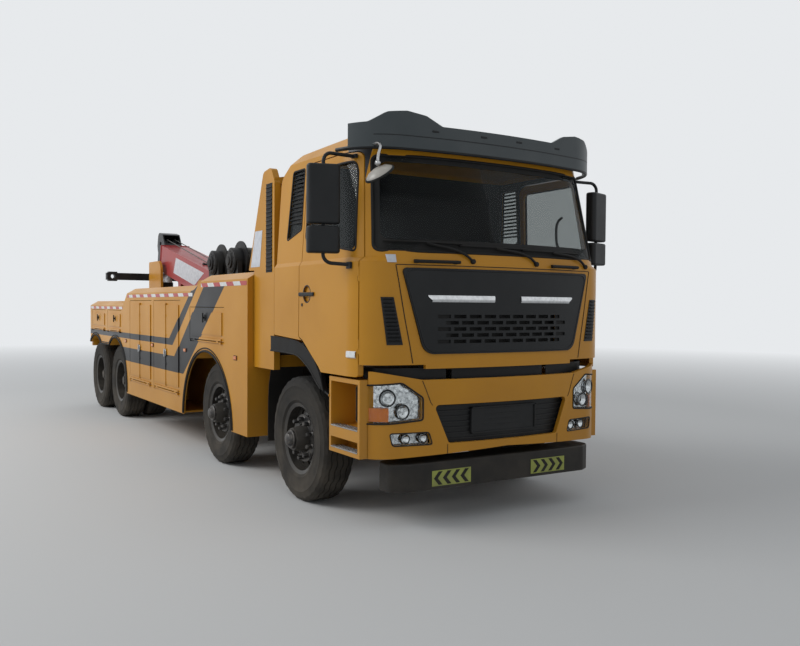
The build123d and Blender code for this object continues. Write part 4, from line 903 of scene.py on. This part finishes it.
# The door mirrors' glass is turned by 18 degrees towards the driver, and lies this far behind the middle
turn_cos, turn_sin = 0.951, 0.309
glass_back = 0.0525
dress(["door_mirror_right", "door_mirror_left"], trim_plastic)
for side, sign in sides.items():
    glasses = []
    for z_low, z_high in ((2.340, 2.730), (2.115, 2.270)):
        rows = [[(front_axle + mirror_middle[0] - turn_cos * glass_back - turn_sin * along,
                  sign * (mirror_middle[1] - turn_sin * glass_back + turn_cos * along), z)
                 for along in (-0.092, 0, 0.092)] for z in (z_low, z_high)]
        glasses.append(sheet(rows, 0.003))
    settle(joined(glasses), "mirror_glass_" + side, "door_" + side, silvered)
arm_points = [(1.020, -1.085, 2.905), (1.120, -1.098, 2.912), (1.230, -1.112, 2.885), (1.268, -1.150, 2.800),
              (1.271, -1.158, 2.735)]
arm = tube([(front_axle + x, y, z) for x, y, z in arm_points], 0.011)
ball_section = [(0, -0.020), (0.014, -0.016), (0.021, -0.004), (0.021, 0.006), (0.014, 0.018), (0, 0.022)]
ball = lathe(ball_section, 16, (front_axle + 1.270, -1.157, 2.742))
settle(joined([arm, ball]), "corner_mirror_arm", "cab", bright_steel)
bowl_section = [(0, 0.046), (0.040, 0.043), (0.080, 0.030), (0.108, 0.008), (0.114, -0.006), (0.110, -0.008),
                (0.104, 0.004), (0.076, 0.024), (0, 0.038)]
rim_section = [(0.106, -0.010), (0.118, -0.010), (0.121, -0.002), (0.117, 0.006), (0.108, 0.006)]
glass_section = [(0, -0.002), (0.060, -0.004), (0.108, -0.008), (0.108, -0.010), (0, -0.006)]
for section, name, slot_name, finish in ((bowl_section, "corner_mirror_bowl", "trim_plastic", bowl_pale),
                                         (rim_section, "corner_mirror_rim", "trim_plastic", rubber_black),
                                         (glass_section, "corner_mirror_glass", "cab_glazing", silvered)):
    piece = lathe(section, 40, (front_axle + 1.261, -1.135, 2.668))
    piece.rotation_euler = (math.radians(53), 0, math.radians(187))
    settle(piece, name, "cab", finish)

# Front arches: a smooth black plastic band over each front wheel, clipped to the arch's edge.
# A rubber guard hangs behind the wheel and keeps its spray off what stands there.
arch_y = 1.2375
arch_high = [(-0.503, 1.412), (-0.300, 1.408), (-0.080, 1.398), (0.130, 1.372), (0.300, 1.305),
             (0.420, 1.215), (0.500, 1.120), (0.560, 1.003)]
arch_low = [(-0.503, 1.284), (-0.300, 1.283), (-0.100, 1.279), (0.060, 1.268), (0.200, 1.218), (0.330, 1.150),
            (0.430, 1.075), (0.520, 1.018)]
guard = [(-0.530, 1.262), (-0.650, 1.200), (-0.745, 1.080), (-0.790, 0.940), (-0.805, 0.780), (-0.812, 0.400)]


def on_side(points, y):
    """Places on an upright face along the truck, from places along it from the front axle and heights."""
    return [(front_axle + x, y, z) for x, z in points]


for side, sign in sides.items():
    high_edge, low_edge = on_side(arch_high, sign * arch_y), on_side(arch_low, sign * arch_y)
    skirt = [sheet([high_edge, low_edge], 0.004), tube(high_edge, 0.006), tube(low_edge, 0.009)]
    rows = [[(front_axle + x, sign * y, z) for y in steps_between(0.80, 1.135, 2)] for x, z in guard]
    skirt.append(sheet(rows, 0.008))
    settle(joined(skirt), "front_arch_" + side, "chassis", rubber_black)

# Body trim: rubber lips round the arches, red and white tape under the top edges, amber side markers,
# and on each pylon behind the cab a dark louvred strip and a blank pale panel.
tape_film = finish_of("tape_film", (0.62, 0.62, 0.60), (0.52, 0.52, 0.50), 0.3, coat=0.3, patch=12, dust=0.2)
tape_place = maths(tape_film, "ADD", object_axis(tape_film, "X"), object_axis(tape_film, "Z"))
tape_turn = maths(tape_film, "FRACT", maths(tape_film, "MULTIPLY", tape_place, 2.6))
mix_in(tape_film, maths(tape_film, "LESS_THAN", tape_turn, 0.5), (0.38, 0.015, 0.015))
tape_y, pylon_y = 1.2662, 1.2012


def arc(x, z, radius, start, end, count):
    """Points of an arc in the side view, from one angle in degrees to another."""
    turns = [math.radians(angle) for angle in steps_between(start, end, count)]
    return [(x + radius * math.cos(turn), z + radius * math.sin(turn)) for turn in turns]


for side, sign in sides.items():
    lips = []
    for grow, radius, y in ((0.006, 0.013, 1.268), (0.038, 0.007, 1.2665)):
        front_lip = arc(-2.225, 0.400, 0.785 + grow, 2, 178, 40)
        rear_lip = arc(-6.350, 0.500, 0.690 + grow, -5, 125, 30)
        rear_lip += arc(-7.700, 0.500, 0.690 + grow, 55, 124, 18)
        lips += [tube(on_side(path, sign * y), radius, straight=True) for path in (front_lip, rear_lip)]
    settle(joined(lips), "arch_lips_" + side, "chassis", rubber_black)
    tapes = []
    for x_low, x_high, z_low, z_high in ((-2.38, -1.03, 1.888, 1.930), (-5.62, -2.68, 1.790, 1.830),
                                         (-8.08, -5.90, 1.622, 1.660)):
        along = steps_between(x_low, x_high, 2)
        rows = [on_side([(x, z) for x in along], sign * tape_y) for z in (z_low, z_high)]
        tapes.append(sheet(rows, 0.0012))
    for z_low, z_high in ((1.20, 1.60), (1.70, 2.36)):
        rows = [[(front_axle - 7.9012, sign * y, z) for y in (0.303, 0.337)] for z in (z_low, z_high)]
        tapes.append(sheet(rows, 0.0012))
    settle(joined(tapes), "body_tape_" + side, "chassis", tape_film)
    markers = []
    trims = []
    for x in (-1.33, -2.95, -4.315, -5.71):
        place = front_axle + x
        trims.append(block(place - 0.048, place + 0.048, sign * 1.262, sign * 1.269, 1.143, 1.191, 0.003))
        markers.append(block(place - 0.040, place + 0.040, sign * 1.266, sign * 1.278, 1.149, 1.185, 0.006))
    settle(joined(markers), "side_markers_" + side, "chassis", amber_lens)
    for z in steps_between(2.02, 2.78, 20):
        high_edge = on_side([(-0.700, z + 0.014), (-0.575, z + 0.014)], sign * 1.201)
        trims.append(sheet([high_edge, on_side([(-0.700, z), (-0.575, z)], sign * 1.209)], 0.003))
    rows = [on_side([(-0.708, z), (-0.567, z)], sign * (pylon_y + 0.0003)) for z in (2.00, 2.82)]
    trims.append(sheet(rows, 0.002))
    settle(joined(trims), "pylon_strip_" + side, "chassis", rubber_black)
    rows = [on_side([(-1.085, 2.06), (-0.860, 2.06)], sign * pylon_y),
            on_side([(-0.975, 2.40), (-0.800, 2.40)], sign * pylon_y)]
    settle(sheet(rows, 0.0014), "pylon_panel_" + side, "chassis", white_patch)

# Locker hardware: black T-handles on the hatch and the small doors, and on the tall doors a lock rod
# in guides that are welded on, with a bright lever in a dish.
handle_plate = [(0, 0), (0.034, 0), (0.036, 0.003), (0.030, 0.006), (0, 0.006)]
handle_stem = [(0, 0), (0.009, 0), (0.009, 0.024), (0, 0.024)]
lever_dish = [(0, 0), (0.046, 0), (0.050, 0.004), (0.044, 0.008), (0.036, 0.004), (0, 0.004)]
panel_y = 1.272


def t_handle(x, z, sign):
    """A T-handle on a round dish, at a place on a locker's raised panel."""
    place = (front_axle + x, sign * panel_y, z)
    plate = lathe(handle_plate, 24, place)
    stem = lathe(handle_stem, 12, place)
    plate.scale.y = sign
    stem.scale.y = sign
    ends = on_side([(x, z + drop) for drop in (-0.052, 0, 0.052)], sign * (panel_y + 0.024))
    return [plate, stem, tube(ends, 0.008, straight=True)]


for side, sign in sides.items():
    handle = joined(t_handle(-2.235, 1.555, sign))
    settle(handle, "hatch_handle_" + side, "hatch_" + side, rubber_black)
    handles = joined(t_handle(-6.330, 1.480, sign) + t_handle(-7.440, 1.480, sign))
    settle(handles, "small_handles_" + side, "small_doors_" + side, rubber_black)
    for name, x in (("tall_door_1_", -3.705), ("tall_door_2_", -4.925)):
        place = front_axle + x
        rods = [tube([(place, sign * panel_y, z) for z in (0.690, 1.200, 1.715)], 0.008, straight=True)]
        for z in (0.72, 0.95, 1.30, 1.55, 1.69):
            rods.append(block(place - 0.018, place + 0.018, sign * 1.262, sign * 1.284, z, z + 0.020, 0.003))
        settle(joined(rods), name + "rod_" + side, name + side, body_yellow)
        dish = lathe(lever_dish, 28, (place, sign * 1.282, 1.100))
        dish.scale.y = sign
        lever = block(place - 0.012, place + 0.012, sign * 1.286, sign * 1.298, 1.050, 1.150, 0.004)
        settle(joined([dish, lever]), name + "lever_" + side, name + side, bright_steel)

# Inside the cab: two seats and the bunk behind them, covered in dark woven cloth over foam,
# and a dashboard moulded in the same black plastic as the grille.
seat_cloth = finish_of("seat_cloth", (0.035, 0.037, 0.042), (0.055, 0.055, 0.060), 0.9, patch=8, grain=600,
                       depth=0.5, dust=0)
dress(["seats"], seat_cloth)
dress(["dashboard"], trim_plastic)

# Lifting gear: a welded boom in faded red, its sliding inner boom with a black head, black winches and
# underlift, and lift cylinders with chromed rods. The pedestal and mast are yellow like the body.
faded_red = ((0.31, 0.022, 0.022), (0.36, 0.060, 0.055), 0.4)
boom_red = finish_of("boom_red", *faded_red, coat=0.25, patch=2.2, dust=0.0)
inner_red = finish_of("inner_red", *faded_red, coat=0.25, patch=2.2, dust=0.0)
gear_black = finish_of("gear_black", (0.009, 0.009, 0.010), (0.024, 0.023, 0.021), 0.46, patch=5, dust=0.1)
rod_chrome = finish_of("rod_chrome", (0.62, 0.62, 0.63), (0.52, 0.52, 0.52), 0.14, metal=1.0, patch=20,
                       depth=0.02, dust=0)
boom_rise = math.radians(11.8)
rise_sin, rise_cos = math.sin(boom_rise), math.cos(boom_rise)
boom_foot = (front_axle - 5.150, 1.960)
up_part = maths(inner_red, "MULTIPLY", object_axis(inner_red, "Z"), rise_sin)
along_part = maths(inner_red, "MULTIPLY", object_axis(inner_red, "X"), rise_cos)
reach_along = maths(inner_red, "SUBTRACT", up_part, along_part)
head_start = 2.56 + boom_foot[1] * rise_sin - boom_foot[0] * rise_cos
mix_in(inner_red, maths(inner_red, "GREATER_THAN", reach_along, head_start), film_black)
dress(["boom"], boom_red)
dress(["boom_extension"], inner_red)
dress(["winches", "lift_barrels", "underlift_arm", "crossbar"], gear_black)
dress(["lift_rods", "underlift_extension"], rod_chrome)

# Boom details: a blank white panel of film on each side, weld beads along the box's edges and a collar
# of weld round its end, and the turned caps of the foot pin.
pin_cap = [(0, 0), (0.062, 0), (0.062, 0.010), (0.050, 0.016), (0.018, 0.016), (0.014, 0.026), (0, 0.026)]
collar_corners = ((0.0, 0.234), (0.239, 0.234), (0.239, -0.204), (0.0, -0.204))
boom_end = 2.47


def boom_place(reach, height, y):
    """A place on the boom from its reach behind the foot pin and its height square to it."""
    return (boom_foot[0] - rise_cos * reach + rise_sin * height, y,
            boom_foot[1] + rise_sin * reach + rise_cos * height)


panels = []
welds = []
for sign in (-1, 1):
    rows = [[boom_place(reach, -0.10, sign * 0.2362) for reach in (0.62, 1.70)],
            [boom_place(reach, 0.16, sign * 0.2362) for reach in (0.22, 1.62)]]
    panels.append(sheet(rows, 0.0014))
    for height in (-0.196, 0.226):
        path = [boom_place(reach, height, sign * 0.232) for reach in (0.40, 1.40, boom_end)]
        welds.append(tube(path, 0.005, straight=True))
    collar = [boom_place(boom_end, height, sign * y) for y, height in collar_corners]
    welds.append(tube(collar, 0.011, straight=True))
    cap = lathe(pin_cap, 24, (boom_foot[0], sign * 0.3405, boom_foot[1]))
    cap.scale.y = sign
    welds.append(cap)
settle(joined(panels), "boom_panels", "boom", white_patch)
settle(joined(welds), "boom_beads", "boom", boom_red)

# Winch details: steel wire laid on the drums in close turns, bolted end covers, hydraulic motors and pipes,
# and the two lines that run taut over a guide roller on the boom to its sheaves.
wire_steel = finish_of("wire_steel", (0.10, 0.098, 0.092), (0.17, 0.16, 0.145), 0.42, metal=0.8, patch=40,
                       grain=900, depth=0.6, dust=0)
drum_z = 2.265
line_radius = 0.0075
guide_reach = 0.55
bolt_count = 10
bolt_circle = 0.122
cover_section = [(0, 0), (0.150, 0), (0.154, 0.006), (0.140, 0.014), (0.100, 0.016), (0.094, 0.034),
                 (0.060, 0.040), (0.056, 0.052), (0, 0.054)]
wire_section = [(0.150, -0.286)]
for y in steps_between(-0.275, 0.253, 24):
    wire_section += [(0.164, y), (0.176, y + 0.006), (0.180, y + 0.011), (0.176, y + 0.016),
                     (0.164, y + 0.022)]
wire_section += [(0.150, 0.286)]
turns = []
covers = []
for x in (-3.700, -4.420):
    drum_x = front_axle + x
    turns.append(lathe(wire_section, 40, (drum_x, 0, drum_z)))
    for sign in (-1, 1):
        flanges = [lathe(cover_section, 36, (drum_x, sign * 0.4295, drum_z))]
        for index in range(bolt_count):
            turn = math.tau * index / bolt_count
            bolt_place = (drum_x + bolt_circle * math.sin(turn), sign * 0.441,
                          drum_z + bolt_circle * math.cos(turn))
            flanges.append(lathe([(0, 0), (0.011, 0), (0.011, 0.009), (0, 0.009)], 6, bolt_place))
        for piece in flanges:
            piece.scale.y = sign
        covers += flanges
    covers.append(block(drum_x - 0.055, drum_x + 0.055, 0.480, 0.590, 2.215, 2.315, 0.014))
    for pipe_x in (drum_x - 0.030, drum_x + 0.030):
        pipe = [(0.560, 2.220), (0.562, 2.100), (0.555, 1.900), (0.560, 1.178)]
        covers.append(tube([(pipe_x, y, z) for y, z in pipe], 0.011))
settle(joined(turns), "wire_turns", "chassis", wire_steel)
settle(joined(covers), "winch_covers", "chassis", gear_black)
for side, winch_x, y in (("right", -3.700, -0.075), ("left", -4.420, 0.075)):
    guide = boom_place(guide_reach, 0.262, y)
    lead = tube([(front_axle + winch_x, y, drum_z + 0.186), guide], line_radius, straight=True)
    settle(lead, "wire_lead_" + side, None, wire_steel)
    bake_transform(lead)
    groove = [boom_place(2.85 + 0.092 * math.sin(turn), 0.215 + 0.092 * math.cos(turn), y)
              for turn in steps_between(0, math.pi / 2, 8)]
    line = tube([guide] + groove + [boom_place(2.942, 0.110, y)], line_radius, straight=True)
    settle(line, "wire_line_" + side, None, wire_steel)
    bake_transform(line)
roller_section = [(0, -0.130), (0.020, -0.130), (0.022, -0.126), (0.022, 0.126), (0.020, 0.130), (0, 0.130)]
rollers = [lathe(roller_section, 20, boom_place(guide_reach, 0.2325, 0))]
foot_x, foot_z = boom_place(guide_reach, 0.222, 0)[::2]
for sign in (-1, 1):
    rollers.append(block(foot_x - 0.030, foot_x + 0.030, sign * 0.130, sign * 0.146, foot_z - 0.002,
                         foot_z + 0.040, 0.006))
settle(joined(rollers), "wire_rollers", "boom", gear_black)

# Stage: a pale studio floor that fades into the backdrop with the distance, lit by one large soft lamp.
# A soft sky lights the shaded sides, and the backdrop's own colour is what glass and chrome reflect.
backdrop = (0.80, 0.82, 0.84)
bpy.ops.mesh.primitive_circle_add(vertices=96, radius=90, fill_type="NGON", location=(0, 0, 0))
floor = bpy.context.object
floor.name = "studio_floor"
concrete = bpy.data.materials.new("studio_concrete")
concrete.use_nodes = True
nodes, links = concrete.node_tree.nodes, concrete.node_tree.links
surface = nodes["Principled BSDF"]
surface.inputs["Base Color"].default_value = (0.56, 0.565, 0.56, 1)
surface.inputs["Roughness"].default_value = 0.9
glow = nodes.new("ShaderNodeEmission")
glow.inputs["Color"].default_value = (*backdrop, 1)
fade = nodes.new("ShaderNodeMixShader")
distance = nodes.new("ShaderNodeVectorMath")
distance.operation = "LENGTH"
place = nodes.new("ShaderNodeTexCoord")
links.new(place.outputs["Object"], distance.inputs[0])
links.new(spread(concrete, distance.outputs["Value"], 8, 27), fade.inputs[0])
links.new(surface.outputs["BSDF"], fade.inputs[1])
links.new(glow.outputs["Emission"], fade.inputs[2])
links.new(fade.outputs["Shader"], nodes["Material Output"].inputs["Surface"])
floor.data.materials.append(concrete)

world = bpy.data.worlds.new("soft_sky")
bpy.context.scene.world = world
world.use_nodes = True
nodes, links = world.node_tree.nodes, world.node_tree.links
sky = nodes["Background"]
sky.inputs["Color"].default_value = (0.93, 0.96, 1.0, 1)
sky.inputs["Strength"].default_value = 0.54
plain = nodes.new("ShaderNodeBackground")
plain.inputs["Color"].default_value = (*backdrop, 1)
rays = nodes.new("ShaderNodeLightPath")
choose = nodes.new("ShaderNodeMixShader")
reflected = maths(world, "MAXIMUM", rays.outputs["Is Glossy Ray"], rays.outputs["Is Transmission Ray"])
links.new(maths(world, "MAXIMUM", rays.outputs["Is Camera Ray"], reflected), choose.inputs[0])
links.new(sky.outputs["Background"], choose.inputs[1])
links.new(plain.outputs["Background"], choose.inputs[2])
links.new(choose.outputs["Shader"], nodes["World Output"].inputs["Surface"])

bpy.ops.object.light_add(type="AREA", location=(-3.0, -13.0, 11.0))
key = bpy.context.object
key.data.shape = "RECTANGLE"
key.data.size = 12
key.data.size_y = 7
key.data.energy = 1450
key.rotation_euler = (math.radians(52), 0, math.radians(-14))

# Camera: where the photographer stood, off the right front corner, a little under two metres up.
# Its place, turn and lens are those fitted to the photograph when the truck's size was read off.
yaw, pitch, roll = math.radians(58.077), math.radians(-1.738), math.radians(-0.42)
bpy.ops.object.camera_add(location=(front_axle + 6.562, -4.252, 1.691))
camera = bpy.context.object
camera.data.lens = 37.40
camera.data.sensor_width = 36
camera.data.shift_y = 0.011
camera.data.clip_end = 400
camera.rotation_euler = (math.pi / 2 + pitch, roll, yaw)
bpy.context.scene.camera = camera
bpy.context.scene.view_settings.view_transform = "Standard"
